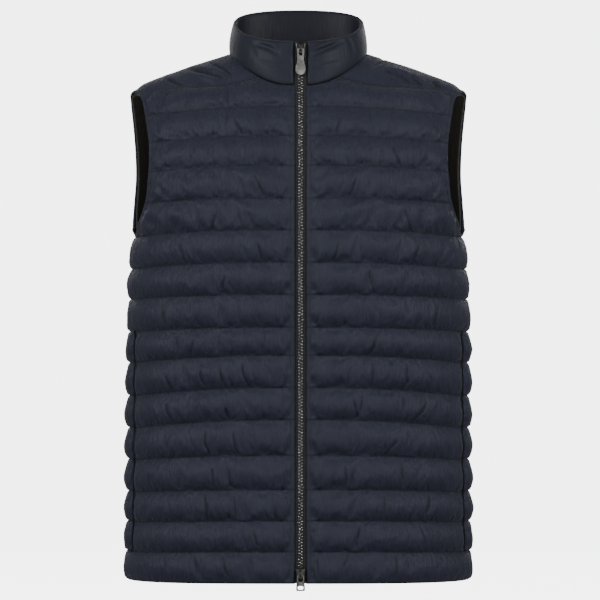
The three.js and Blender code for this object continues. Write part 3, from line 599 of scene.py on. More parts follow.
def loft(name: str, loops: Array, ring: bool = False) -> Piece:
    """A closed body through loops of points.

    Args:
        name: Name of the object.
        loops: Loops by points by 3.
        ring: Whether the last loop joins the first; else both ends are filled.

    Returns:
        The object, with a UV map in metres: U along the loops, V round them.
    """
    count, around = loops.shape[:2]
    spans = count if ring else count - 1
    faces = []
    for i in range(spans):
        here, there = i * around, (i + 1) % count * around
        for j in range(around):
            k = (j + 1) % around
            faces.append((here + j, here + k, there + k, there + j))
    if not ring:
        faces.append(tuple(range(around))[::-1])
        faces.append(tuple(range((count - 1) * around, count * around)))
    obj = mesh_object(name, loops.reshape(-1, 3), faces)
    along = row_lengths(loops.mean(axis=1)) * MM
    sides = np.linalg.norm(np.roll(loops, -1, axis=1) - loops, axis=2).mean(axis=0)
    across = np.concatenate([[0], np.cumsum(sides)]) * MM
    layer = obj.data.uv_layers.new(name="UVMap")
    total = along[-1] + float(np.linalg.norm(loops[-1].mean(axis=0) - loops[0].mean(axis=0))) * MM
    for polygon in obj.data.polygons:
        low = min(v % around for v in polygon.vertices)
        wraps = max(v % around for v in polygon.vertices) - low > 1
        first = min(v // around for v in polygon.vertices)
        closes = max(v // around for v in polygon.vertices) - first > 1
        for index, vertex in zip(polygon.loop_indices, polygon.vertices):
            i, j = divmod(vertex, around)
            v = across[around] if wraps and j == 0 else across[j]
            u = total if closes and i == 0 else along[i]
            layer.data[index].uv = (u, v)
    turn_outwards(obj)
    return obj


# ---- Materials ----


class Wire:
    """A node socket that takes part in arithmetic."""

    def __init__(self, finish: "Finish", socket: bpy.types.NodeSocket) -> None:
        """Keeps the socket and the finish whose tree it is in."""
        self.finish = finish
        self.socket = socket

    def _math(self, operation: str, *values: Any) -> "Wire":
        """One Math node over some values."""
        return self.finish.node("ShaderNodeMath", {"operation": operation}, dict(enumerate(values)))

    def __add__(self, other: Any) -> "Wire":
        """Sum."""
        return self._math("ADD", self, other)

    __radd__ = __add__

    def __rsub__(self, other: Any) -> "Wire":
        """Difference from a number."""
        return self._math("SUBTRACT", other, self)

    def __mul__(self, other: Any) -> "Wire":
        """Product."""
        return self._math("MULTIPLY", self, other)

    __rmul__ = __mul__

    def wave(self) -> "Wire":
        """Sine."""
        return self._math("SINE", self)

    def ramp(self, low: float, high: float) -> "Wire":
        """0 below low and 1 above high, with a smooth rise."""
        settings = {"interpolation_type": "SMOOTHSTEP"}
        inputs = {"Value": self, "From Min": low, "From Max": high}
        return self.finish.node("ShaderNodeMapRange", settings, inputs)


class Finish:
    """A material under construction, with its Principled shader."""

    def __init__(self, name: str) -> None:
        """Starts a material with an empty shader."""
        self.material = bpy.data.materials.new(name)
        self.material.use_nodes = True
        self.tree = self.material.node_tree
        self.shader = next(n for n in self.tree.nodes if n.type == "BSDF_PRINCIPLED")

    def node(self, kind: str, settings: dict[str, Any], inputs: dict[Any, Any], output: Any = 0) -> Wire:
        """Adds a node.

        Args:
            kind: The node's type.
            settings: Its properties, set first.
            inputs: Numbers, colours or wires for its sockets.
            output: Name or number of the output to return.

        Returns:
            That output.
        """
        made = self.tree.nodes.new(kind)
        for key, value in settings.items():
            setattr(made, key, value)
        for key, value in inputs.items():
            self.feed(made.inputs[key], value)
        return Wire(self, made.outputs[output])

    def feed(self, socket: bpy.types.NodeSocket, value: Any) -> None:
        """Sets a socket to a number or colour, or links a wire to it."""
        if isinstance(value, Wire):
            self.tree.links.new(value.socket, socket)
        elif isinstance(value, tuple) and len(value) == 3 and socket.type == "RGBA":
            socket.default_value = (*value, 1)
        else:
            socket.default_value = value

    def set(self, **values: Any) -> "Finish":
        """Feeds the shader's sockets, named with _ for each space."""
        for key, value in values.items():
            self.feed(self.shader.inputs[key.replace("_", " ")], value)
        return self

    def place(self, stretch: tuple[float, float, float]) -> Wire:
        """Object coordinates in millimetres, stretched along each axis."""
        coordinates = self.node("ShaderNodeTexCoord", {}, {}, "Object")
        scale = tuple(1000 * s for s in stretch)
        return self.node("ShaderNodeMapping", {}, {"Vector": coordinates, "Scale": scale})

    def noise(self, stretch: tuple[float, float, float], detail: float = 2, rough: float = 0.5) -> Wire:
        """Noise whose lumps are about 1 mm, divided by the stretch."""
        inputs = {"Vector": self.place(stretch), "Scale": 1.0, "Detail": detail, "Roughness": rough}
        return self.node("ShaderNodeTexNoise", {}, inputs)

    def uv(self, name: str) -> Wire:
        """One axis of the piece's UV map in millimetres, X or Y."""
        coordinates = self.node("ShaderNodeUVMap", {"uv_map": "UVMap"}, {})
        return self.node("ShaderNodeSeparateXYZ", {}, {0: coordinates}, name) * 1000

    def attribute(self, name: str) -> Wire:
        """A number stored on the mesh's points."""
        return self.node("ShaderNodeAttribute", {"attribute_name": name}, {}, "Fac")

    def mix(self, share: Any, low: Any, high: Any) -> Wire:
        """A colour between two, by a share."""
        settings = {"data_type": "RGBA"}
        made = self.node("ShaderNodeMix", settings, {0: share}, 2)
        node = made.socket.node
        self.feed(node.inputs[6], low)
        self.feed(node.inputs[7], high)
        return made

    def bump(self, height: Wire, depth: float, under: Wire | None = None) -> Wire:
        """A normal from a height; depth is in millimetres."""
        inputs: dict[Any, Any] = {"Height": height, "Distance": depth * MM, "Strength": 1.0}
        if under is not None:
            inputs["Normal"] = under
        return self.node("ShaderNodeBump", {}, inputs)


class Look:
    """A finish of the vest; its material is made once."""

    name: str

    def paint(self, finish: Finish) -> None:
        """Feeds the shader of its material."""
        raise NotImplementedError

    @lru_cache(maxsize=None)
    def material(self) -> bpy.types.Material:
        """The finished material."""
        finish = Finish(self.name)
        self.paint(finish)
        return finish.material


@dataclass(frozen=True)
class NavyNylon(Look):
    """Fine matt satin outer cloth, with a vertical crinkle and painted shade: darker near the stitched lines, in
    deep creases and on the collar's inside, and near black as painted shadow in the pocket slits and along the
    neck seam.
    """

    name: str = "navy_nylon_cloth"
    colour: tuple[float, float, float] = (0.0235, 0.0278, 0.052)
    light: tuple[float, float, float] = (0.0325, 0.038, 0.067)
    # painted shade: colour factor for the cloth near stitched lines and in deep creases
    groove: float = 0.62
    roughness: float = 0.52
    crinkle: float = 1.75
    fine_share: float = 0.34
    weave: float = 0.05

    def paint(self, finish: Finish) -> None:
        """Feeds the shader."""
        crinkle = finish.noise((0.3, 0.3, 0.055), detail=3, rough=0.5)
        fine = finish.noise((0.75, 0.75, 0.16), detail=3, rough=0.6)
        broad = finish.noise((0.05, 0.05, 0.018), detail=2)
        weave = finish.noise((2.6, 2.6, 2.6), detail=1)
        # painted shade near stitched lines and creases, and near-black painted shadow in the slits and at the neck
        # seam
        line = finish.attribute("from_line").ramp(0.0, SEAM_SHADE)
        slit = finish.attribute("from_line").ramp(-2.6, -0.6)
        tone = crinkle.ramp(0.3, 0.75) * 0.55 + broad.ramp(0.3, 0.7) * 0.45
        cloth = finish.mix(tone, self.colour, self.light)
        dark = tuple(c * self.groove for c in self.colour)
        under = finish.bump(weave, self.weave)
        under = finish.bump(fine, self.fine_share * self.crinkle, under)
        normal = finish.bump(crinkle, self.crinkle, under)
        finish.set(
            Base_Color=finish.mix(slit, (0.001, 0.001, 0.0015), finish.mix(line, dark, cloth)),
            Roughness=self.roughness + 0.1 * crinkle,
            Specular_IOR_Level=0.42,
            Sheen_Weight=0.12,
            Sheen_Roughness=0.45,
            Normal=normal,
        )


@dataclass(frozen=True)
class RibbedElastic(Look):
    """Black elastic with fine ribs along it and dull olive threads between them."""

    name: str = "ribbed_elastic"
    pitch: float = 2.4
    rib: tuple[float, float, float] = (0.075, 0.072, 0.064)
    thread: tuple[float, float, float] = (0.2, 0.178, 0.125)

    def paint(self, finish: Finish) -> None:
        """Feeds the shader."""
        across = finish.uv("Y")
        ribs = (across * (2 * math.pi / self.pitch)).wave() * 0.5 + 0.5
        knit = (finish.uv("X") * (2 * math.pi / 0.9)).wave() * 0.5 + 0.5
        fuzz = finish.noise((2.0, 2.0, 2.0), detail=2)
        share = (1 - ribs).ramp(0.55, 0.95) * (knit * 0.5 + 0.5)
        finish.set(
            Base_Color=finish.mix(share, self.rib, self.thread),
            Roughness=0.85 + 0.1 * fuzz,
            Sheen_Weight=0.2,
            Normal=finish.bump(ribs * 0.8 + knit * 0.25 + fuzz * 0.3, 0.35),
        )


@dataclass(frozen=True)
class ZipTape(Look):
    """Black woven tape with a fine herringbone."""

    name: str = "woven_zip_tape"
    colour: tuple[float, float, float] = (0.016, 0.0175, 0.017)

    def paint(self, finish: Finish) -> None:
        """Feeds the shader."""
        u, v = finish.uv("X"), finish.uv("Y")
        twill = ((u + v) * (2 * math.pi / 0.8)).wave() * 0.5 + 0.5
        fuzz = finish.noise((3.0, 3.0, 3.0), detail=2)
        bright = tuple(2.2 * c for c in self.colour)
        finish.set(
            Base_Color=finish.mix(twill * 0.6 + fuzz * 0.4, self.colour, bright),
            Roughness=0.8 + 0.15 * fuzz,
            Sheen_Weight=0.15,
            Normal=finish.bump(twill, 0.12),
        )


@dataclass(frozen=True)
class Metal(Look):
    """Cast and plated metal, worn a little brighter where it is rubbed."""

    name: str
    colour: tuple[float, float, float]
    worn: tuple[float, float, float]
    roughness: float

    def paint(self, finish: Finish) -> None:
        """Feeds the shader."""
        patches = finish.noise((0.45, 0.45, 0.45), detail=4, rough=0.6)
        grain = finish.noise((6.0, 6.0, 1.5), detail=2)
        finish.set(
            Base_Color=finish.mix(patches.ramp(0.35, 0.75), self.colour, self.worn),
            Metallic=0.95,
            Roughness=self.roughness + 0.14 * patches,
            Normal=finish.bump(grain, 0.03),
        )


@dataclass(frozen=True)
class Thread(Look):
    """Twisted sewing thread."""

    name: str
    colour: tuple[float, float, float]

    def paint(self, finish: Finish) -> None:
        """Feeds the shader."""
        fuzz = finish.noise((3.0, 3.0, 3.0), detail=1)
        finish.set(
            Base_Color=finish.mix(fuzz, self.colour, tuple(1.5 * c for c in self.colour)),
            Roughness=0.6 + 0.2 * fuzz,
            Normal=finish.bump(fuzz, 0.05),
        )


@dataclass(frozen=True)
class PaleFloor(Look):
    """The pale studio floor, painted to glow: brightest behind the vest, fading towards the front and the sides.
    """

    name: str = "pale_floor"
    colour: tuple[float, float, float] = (0.9, 0.9, 0.9)

    def paint(self, finish: Finish) -> None:
        """Feeds the shader."""
        coordinates = finish.node("ShaderNodeTexCoord", {}, {}, "Object")
        aside = finish.node("ShaderNodeSeparateXYZ", {}, {0: coordinates}, "X")
        behind = finish.node("ShaderNodeSeparateXYZ", {}, {0: coordinates}, "Y")
        # painted glow, brighter behind and fading to the sides
        glow = behind.ramp(-2.0, 2.2) * (1 - (aside * aside).ramp(1.3, 16.0))
        finish.set(
            Base_Color=self.colour,
            Roughness=0.9,
            Emission_Color=finish.mix(glow, (0.0, 0.0, 0.0), (1.0, 1.0, 1.0)),
            Emission_Strength=4.8,
        )


NYLON = NavyNylon()
# the same nylon painted darker for the collar, as painted shade
SHADED_COLLAR_NYLON = NavyNylon(
    "collar_nylon_cloth", (0.0165, 0.0195, 0.0365), (0.0215, 0.0255, 0.0455), crinkle=0.6
)
ELASTIC = RibbedElastic()
TAPE = ZipTape()
TEETH_METAL = Metal("zip_metal_finish", (0.4, 0.4, 0.39), (0.95, 0.95, 0.93), 0.17)
SLIDER_METAL = Metal("slider_metal_finish", (0.05, 0.052, 0.048), (0.16, 0.16, 0.15), 0.28)
LOW_PULL_METAL = Metal("low_pull_metal_finish", (0.13, 0.13, 0.122), (0.24, 0.24, 0.228), 0.3)
PULL_METAL = Metal("pull_metal_finish", (0.34, 0.335, 0.315), (0.5, 0.495, 0.47), 0.3)
NAVY_THREAD = Thread("navy_thread", (0.02, 0.0225, 0.033))


def dress(obj: Piece, finish: Look) -> Piece:
    """Gives a piece one finish all over."""
    obj.data.materials.clear()
    obj.data.materials.append(finish.material())
    return obj


# ---- Quilted walls ----


CREASE_STRENGTH = 1.3


@dataclass(frozen=True)
class Crease:
    """A soft trough or ridge across a wall, listed one by one.

    Attributes:
        path: Points (x, z) that it runs through.
        width: Half its width.
        depth: How far it moves the cloth, inwards where negative.
    """

    path: tuple[tuple[float, float], ...]
    width: float
    depth: float

    def lift(self, x: Array, z: Array) -> Array:
        """How far the cloth moves.

        Args:
            x: Place across of each point.
            z: Height of each point.

        Returns:
            The move of each point, outwards where positive.
        """
        knots = np.asarray(self.path, float)
        nearest = np.full(np.shape(x), 1e9)
        along = np.zeros(np.shape(x))
        total = len(knots) - 1
        for k, (a, b) in enumerate(zip(knots[:-1], knots[1:])):
            run = b - a
            t = np.clip(((x - a[0]) * run[0] + (z - a[1]) * run[1]) / (run @ run), 0, 1)
            distance = np.hypot(x - a[0] - t * run[0], z - a[1] - t * run[1])
            closer = distance < nearest
            nearest = np.where(closer, distance, nearest)
            along = np.where(closer, (k + t) / total, along)
        fade = np.sin(np.pi * np.clip(0.12 + 0.76 * along, 0, 1))
        # a narrow fold between two low, wider shoulders
        fold = np.exp(-((nearest / self.width) ** 2))
        shoulders = 0.35 * np.exp(-((nearest / (2.2 * self.width)) ** 2))
        return CREASE_STRENGTH * self.depth * fade * (fold - shoulders)


def crease_table(*rows: tuple[float, ...]) -> tuple[Crease, ...]:
    """Creases from rows of half width, depth and then x, z of each point of the path."""
    return tuple(Crease(tuple(zip(path[::2], path[1::2])), width, depth) for width, depth, *path in rows)


RIGHT_FRONT_CREASES = crease_table(
    (2.2, -2.3, -163.9, -409.6, -159.5, -419.5, -156.4, -424.5),
    (2.1, -2.1, -120.5, -393.3, -120.5, -409.6, -115.3, -422.0),
    (1.9, -1.9, -96.8, -395.8, -95.3, -410.8, -89.1, -422.0),
    (2.1, -2.3, -69.1, -392.1, -67.5, -408.3, -59.8, -423.3),
    (1.9, 1.9, -121.9, -430.8, -123.2, -442.0, -127.7, -449.5),
    (2.1, -2.3, -162.7, -443.2, -160.9, -455.7, -154.6, -466.9), (1.9, -2.1, -90.3, -447.0, -85.3, -464.4),
    (2.1, -2.3, -114.9, -476.9, -114.9, -494.4, -109.0, -509.3),
    (2.1, -2.1, -81.6, -479.4, -78.6, -497.6, -72.2, -508.1), (2.1, 2.1, -155.2, -484.4, -158.9, -508.1),
    (2.1, -2.1, -129.0, -364.6, -134.0, -384.6), (1.7, -1.8, -40.9, -350.9, -40.7, -367.1),
    (2.1, -2.1, -106.8, -523.1, -105.3, -543.0), (2.1, -2.3, -84.6, -528.1, -84.6, -544.3, -76.6, -550.5),
    (2.1, -2.1, -115.4, -556.7, -112.8, -574.2, -112.8, -586.7), (1.9, -1.9, -79.7, -559.2, -78.1, -582.9),
    (1.9, 2.1, -89.1, -600.4, -93.4, -617.9), (2.1, -2.1, -55.4, -600.4, -51.0, -619.1),
    (2.2, -2.4, -93.2, -634.1, -90.8, -651.6, -84.1, -661.5), (2.1, -1.9, -129.0, -634.1, -125.9, -657.8),
    (2.1, -1.9, -163.3, -642.8, -168.3, -659.0), (2.1, -1.9, -77.8, -89.0, -70.4, -106.4),
    (2.1, -1.8, -127.7, -122.6, -137.7, -143.8), (2.1, -1.8, -54.1, -158.8, -44.2, -181.3),
    (2.1, -1.9, -102.8, -206.2, -107.8, -227.4), (2.1, -1.8, -50.4, -242.4, -45.4, -262.4),
    (2.1, -1.9, -147.7, -243.6, -140.2, -266.1), (2.1, -1.9, -90.3, -283.6, -95.3, -303.5),
    (2.1, -1.8, -168.9, -318.5, -165.2, -340.9),
)
LEFT_FRONT_CREASES = crease_table(
    (2.1, -2.3, 96.8, -355.9, 92.4, -372.1, 84.3, -384.6), (1.9, -1.9, 92.4, -392.1, 91.1, -422.0),
    (2.2, -2.3, 134.2, -393.3, 134.2, -415.8, 128.0, -427.0), (1.9, -1.8, 156.7, -400.8, 165.4, -415.8),
    (2.1, -2.3, 157.3, -443.2, 151.1, -455.7, 141.7, -465.7), (2.1, -2.1, 131.7, -434.5, 129.2, -449.5),
    (2.1, -2.1, 121.7, -489.4, 108.0, -505.6), (2.1, -2.1, 120.8, -632.8, 122.0, -659.0),
    (1.9, -1.9, 61.9, -631.6, 56.3, -647.8), (1.9, -1.9, 106.0, -556.7, 106.3, -579.2),
    (1.9, -2.1, 56.9, -520.6, 59.4, -543.0), (2.1, -2.1, 127.0, -518.1, 128.5, -539.3),
    (2.1, -1.9, 66.9, -435.7, 73.1, -458.2), (2.1, -1.9, 164.2, -555.5, 159.2, -580.5),
    (2.1, -1.8, 76.8, -595.4, 71.9, -620.4), (2.1, -1.8, 151.7, -599.2, 156.7, -619.1),
    (2.1, -1.9, 51.9, -86.5, 46.9, -105.2), (2.1, -1.8, 116.8, -121.4, 126.7, -146.3),
    (2.1, -1.8, 71.9, -161.3, 64.4, -183.8), (2.1, -1.9, 133.0, -203.7, 139.2, -226.2),
    (2.1, -1.9, 49.4, -243.6, 44.4, -263.6), (2.1, -1.8, 149.2, -242.4, 141.7, -267.3),
    (2.1, -1.9, 86.8, -279.8, 94.3, -303.5), (2.1, -1.8, 172.9, -318.5, 166.7, -343.4),
)


YOKE_CREASES = crease_table(
    (2.7, -4.1, -137, -21, -117, -25, -98, -31), (2.6, 2.6, -132, -28, -116, -33, -101, -38),
    (2.5, -3.4, -167, -33, -156, -37, -146, -41), (2.4, -2.6, -188, -44, -180, -50),
    (2.4, -2.6, -110, -14, -96, -20, -84, -29), (2.7, -3.7, 94, -17, 101, -12, 108, -8),
    (2.5, -3.7, 112, -23, 130, -29, 142, -38), (2.4, 2.4, 118, -20, 135, -24, 150, -31),
    (2.3, -3.4, 142, -28, 152, -36, 158, -43), (2.4, -2.7, 172, -36, 183, -44),
    (2.4, -1.8, -148, -404, -144, -418, -150, -428), (2.4, -1.8, -96, -362, -91, -374, -88, -385),
    (2.4, -1.8, -52, -485, -55, -498, -49, -508), (2.4, -1.8, 22, -402, 26, -416, 24, -428),
    (2.4, -1.8, 71, -444, 66, -458, 68, -468), (2.4, -1.8, 128, -526, 133, -538, 129, -549),
    (2.4, -1.8, 166, -322, 161, -334, 164, -346), (2.4, -1.8, -171, -564, -166, -578, -169, -588),
    (2.4, -1.6, -30, -282, -34, -296, -30, -305), (2.4, -1.6, 96, -242, 101, -256, 99, -264),
    (2.4, -1.6, -118, -162, -113, -176, -116, -184), (2.4, -1.6, 48, -122, 44, -134, 46, -143),
    (2.4, -1.8, -88, -640, -84, -654, -86, -664), (2.4, -1.8, 108, -604, 112, -618, 109, -628),
)


@dataclass
class QuiltedWall:
    """A padded panel with stitched channels.

    Its build leaves level, column, length, sewn, normals and outer for what is sewn to it.
    """

    name: str
    form: VestForm
    wall: float = 2.0
    rows_per_channel: int = 16
    spacing: float = 1.9
    inner_rows: int = 4
    seed: int = 7
    arm_stitches: float = 5.6
    arm_roll: float = 0.34
    arm_rise: float = 12
    calm: float = 9
    seam_calm: float = 1.5
    deepest: float = -0.3
    measured_level: float = 6.5
    sag: float = 0.76
    roundness: float = 0.72
    pressure: float = 14
    ease: float = 0.034
    # how deep a crease must be, and where it starts, to get painted shade
    crevice: float = 1.0
    crevice_from: float = -0.12
    side_puff: float = 0.2
    side_rise: float = 17.0
    frames: int = 14
    most_move: float = 3.6
    creases: tuple[Crease, ...] = ()

    def channel_shares(self) -> Array:
        """Shares of a channel's height at which it has rows, closer together near the stitches."""
        t = np.arange(self.rows_per_channel) / self.rows_per_channel
        return lerp(t, (1 - np.cos(np.pi * t)) / 2, 0.45)

    def rows_of(self, channels: list[tuple[float, float, float, float]]) -> tuple[Array, Array, Array]:
        """The rows of some channels.

        Args:
            channels: For each channel its levels from and to, and the shares of a puff there.

        Returns:
            Level, share of the puff and channel number of each row.
        """
        shares = self.channel_shares()
        level = [lerp(low, high, shares) for low, high, _, _ in channels]
        share = [lerp(start, end, shares) for _, _, start, end in channels]
        number = [np.full(len(shares), low) for low, _, _, _ in channels]
        last = channels[-1]
        return (
            np.concatenate([*level, [last[1]]]),
            np.concatenate([*share, [last[3]]]),
            np.concatenate([*number, [last[0]]]),
        )

    def columns_of(self, points: Callable[[Array, Array], Array], level: float) -> tuple[Array, list[int]]:
        """Columns that lie about the same distance apart.

        Args:
            points: Gives points for levels and columns.
            level: The level that they are measured at.

        Returns:
            The columns, and the numbers of those that the inner side uses.
        """
        fine = np.linspace(0, COLUMNS, 481)
        line = points(np.full_like(fine, level), fine)
        length = row_lengths(line)
        knots = np.interp(np.arange(COLUMNS + 1), fine, length)
        columns, used = [], []
        for low, high in zip(knots[:-1], knots[1:]):
            steps = max(1, round((high - low) / self.spacing))
            used += [len(columns)] if steps < 8 else [len(columns), len(columns) + steps // 2]
            columns += list(np.interp(np.linspace(low, high, steps, endpoint=False), length, fine))
        return np.array([*columns, float(COLUMNS)]), [*used, len(columns)]

    def puckers(self, length: Array, share: Array, channel: Array, flow: Callable[[Array], Array]) -> Array:
        """Short wrinkles that rise from the stitched lines.

        Args:
            length: Distance along the rows of each point, from the zip or the middle.
            share: Share of its channel of each row.
            channel: Channel of each row.
            flow: Slant of the wrinkles by distance along the row.

        Returns:
            How far each point moves out.
        """
        random = np.random.default_rng(self.seed)
        lift = np.zeros(length.shape)
        for number in np.unique(channel):
            rows = np.flatnonzero(channel == number)
            reach = length[rows].max()
            lowest = length[rows].min()
            for from_top in (False, True):
                up = (1 - share[rows] if from_top else share[rows]) * CHANNEL_HEIGHT
                position = lowest
                while position < reach:
                    position += random.uniform(2.6, 6.6) * (2.2 if from_top else 1)
                    tall = random.uniform(4, 13) * random.choice([1, 1, 1.8])
                    wide = random.uniform(1.1, 1.6) * (1 + tall / 40)
                    depth = random.uniform(0.22, 0.8) * random.choice([-1, -1, 1]) * min(1, tall / 8)
                    depth *= 0.4 if from_top else 1
                    slant = flow(np.array(position)) * (-1 if from_top else 1) + random.normal(0, 0.35)
                    centre = position + slant * up
                    offset = (length[rows] - centre[:, None]) / wide
                    fade = np.exp(-((up / tall) ** 2)) * smoothstep(up, 0.4, 4.0)
                    lift[rows] += depth * fade[:, None] * np.exp(-(offset**2))
        return lift

    def hem_roll(self, distance: Array, stitched: float, roll: float, rise: float) -> Array:
        """Share of the puff near an edge that is turned in and stitched.

        Args:
            distance: Distance from the edge.
            stitched: Where the edge's own stitches run.
            roll: Share of the puff between the edge and these stitches.
            rise: Distance over which the channel fills out behind them.

        Returns:
            The share, from 0 at the stitches to 1.
        """
        edge = roll * np.sin(np.pi * np.clip(distance / stitched, 0, 1)) ** 0.8
        return np.where(distance < stitched, edge, np.clip((distance - stitched) / rise, 0, 1) ** 0.6)

    def hem_fade(self, level: Array) -> Array:
        """How strong the wrinkles are at each row; they grow weak towards the hem."""
        return lerp(0.25, 1, smoothstep(level, 0.1, 0.5))[:, None]

    def side_share(self, from_side: Array, open_above: Array) -> Array:
        """Share of the puff that is left towards the side seam or the armhole's edge.

        Args:
            from_side: Distance from that edge.
            open_above: Whether a row is above the armpit.

        Returns:
            The share, from 0 to 1.
        """
        return np.where(
            open_above,
            self.hem_roll(from_side, self.arm_stitches, self.arm_roll, self.arm_rise),
            self.side_puff + (1 - self.side_puff) * np.clip(from_side / self.side_rise, 0, 1),
        )

    def reading(self, r: int, at: Any) -> tuple[Array, Array]:
        """The outer cloth read along one row.

        Args:
            r: The row.
            at: One distance along it, or several.

        Returns:
            Points, and outward directions there.
        """
        row = self.length[r]
        place, normal = (
            np.stack([np.interp(at, row, values[r, :, k]) for k in range(3)], axis=-1)
            for values in (self.outer, self.normals)
        )
        return place, normal

    def used_rows(self) -> list[int]:
        """The rows that the inner side uses."""
        return list(range(0, len(self.level), self.rows_per_channel // self.inner_rows))

    def profile(self, share: Array) -> Array:
        """How full a channel is at shares of its height; the filling sags a little."""
        return np.sin(np.pi * np.clip(share, 0, 1) ** self.sag) ** self.roundness

    def fill_out(self, outer: Array, sewn: Array, normals: Array, pinned: Array) -> Array:
        """Lets the outer cloth settle over the filling, held at its stitches.

        The cloth is cut a little longer than the lines that it is stitched to, so it gathers there.

        Args:
            outer: Rows by columns of starting points.
            sewn: The sewn surface under them.
            normals: Outward directions there.
            pinned: Which points are stitched down.

        Returns:
            The settled points, never inside the sewn surface.
        """
        rows, columns = outer.shape[:2]
        number = np.arange(rows * columns).reshape(rows, columns)
        corners = (number[:-1, :-1], number[:-1, 1:], number[1:, 1:], number[1:, :-1])
        cloth = mesh_object("cloth_settling", outer.reshape(-1, 3), np.stack(corners, -1).reshape(-1, 4))
        group = cloth.vertex_groups.new(name="stitched")
        group.add([int(i) for i in number[pinned]], 1.0, "REPLACE")
        modifier = cloth.modifiers.new("settle", "CLOTH")
        fabric = modifier.settings
        fabric.vertex_group_mass = group.name
        fabric.quality = 5
        fabric.mass = 0.1
        fabric.tension_stiffness = fabric.compression_stiffness = 15
        fabric.shear_stiffness = 5
        fabric.bending_stiffness = 0.05
        fabric.use_pressure = True
        fabric.uniform_pressure_force = self.pressure
        fabric.shrink_min = -self.ease
        fabric.effector_weights.gravity = 0
        modifier.collision_settings.use_collision = False
        scene = bpy.context.scene
        scene.frame_start = modifier.point_cache.frame_start = 1
        scene.frame_end = modifier.point_cache.frame_end = self.frames
        for step in range(1, self.frames + 1):
            scene.frame_set(step)
        settled = cloth.evaluated_get(bpy.context.evaluated_depsgraph_get()).to_mesh()
        places = np.empty(3 * rows * columns, np.float32)
        settled.vertices.foreach_get("co", places)
        bpy.data.objects.remove(cloth)
        scene.frame_set(1)
        moved = places.reshape(outer.shape).astype(float) / MM - outer
        length = np.linalg.norm(moved, axis=-1, keepdims=True)
        moved *= np.minimum(1, self.most_move / np.maximum(length, 1e-6))
        result = outer + moved
        inside = np.maximum(0, 0.1 - ((result - sewn) * normals).sum(-1))
        return result + normals * np.where(pinned, 0, inside)[..., None]

    def wrinkle(self, outer: Array, sewn: Array, normals: Array, lift: Array) -> Array:
        """Moves the outer cloth by its wrinkles, but never into the sewn surface."""
        moved = outer + normals * lift[..., None]
        inside = np.maximum(0, 0.15 - ((moved - sewn) * normals).sum(-1))
        return np.where((lift != 0)[..., None], moved + normals * inside[..., None], outer)

    def lumps(self, length: Array, channel: Array) -> Array:
        """Uneven filling along the channels.

        Args:
            length: Distance along the rows of each point.
            channel: Channel of each row.

        Returns:
            A factor of the puff for each point.
        """
        random = np.random.default_rng(self.seed + 1)
        factor = np.ones(length.shape)
        for number in np.unique(channel):
            rows = np.flatnonzero(channel == number)
            along = length[rows]
            factor[rows] += sum(
                random.uniform(0.012, 0.045)
                * np.sin(along / random.uniform(7, 26) + random.uniform(0, 6.3))
                for _ in range(5)
            )
        return factor

    def finish_wall(self, share: Array, cells: WallGrid, opening: Array, lift: Array) -> Piece:
        """Makes the object and stores, for painted shade, how far its points are from a stitched line or a slit;
        deep creases count as near a line, so they are painted darker too.

        Args:
            share: Share of its channel of each row.
            cells: The wall.
            opening: How far a slit is open at each point, from 0 to 1.
            lift: How far the wrinkles move each point; deep ones get painted shade.

        Returns:
            The wall's object.
        """
        obj = cells.build(self.name)
        up = line_distance(share)[:, None]
        # painted shade in deep creases: they count as close to a stitched line
        shade_in_creases = np.minimum(up, SEAM_SHADE * np.clip(1 + lift / self.crevice, 0, 1))
        shown = np.where(lift < self.crevice_from, shade_in_creases, up)
        from_line = lerp(shown, SLIT_PAINTED_SHADOW, opening).ravel()[cells.kept]
        values = np.full(len(obj.data.vertices), FAR_FROM_LINE)
        values[: len(from_line)] = from_line
        set_attribute(obj, "from_line", values)
        return obj


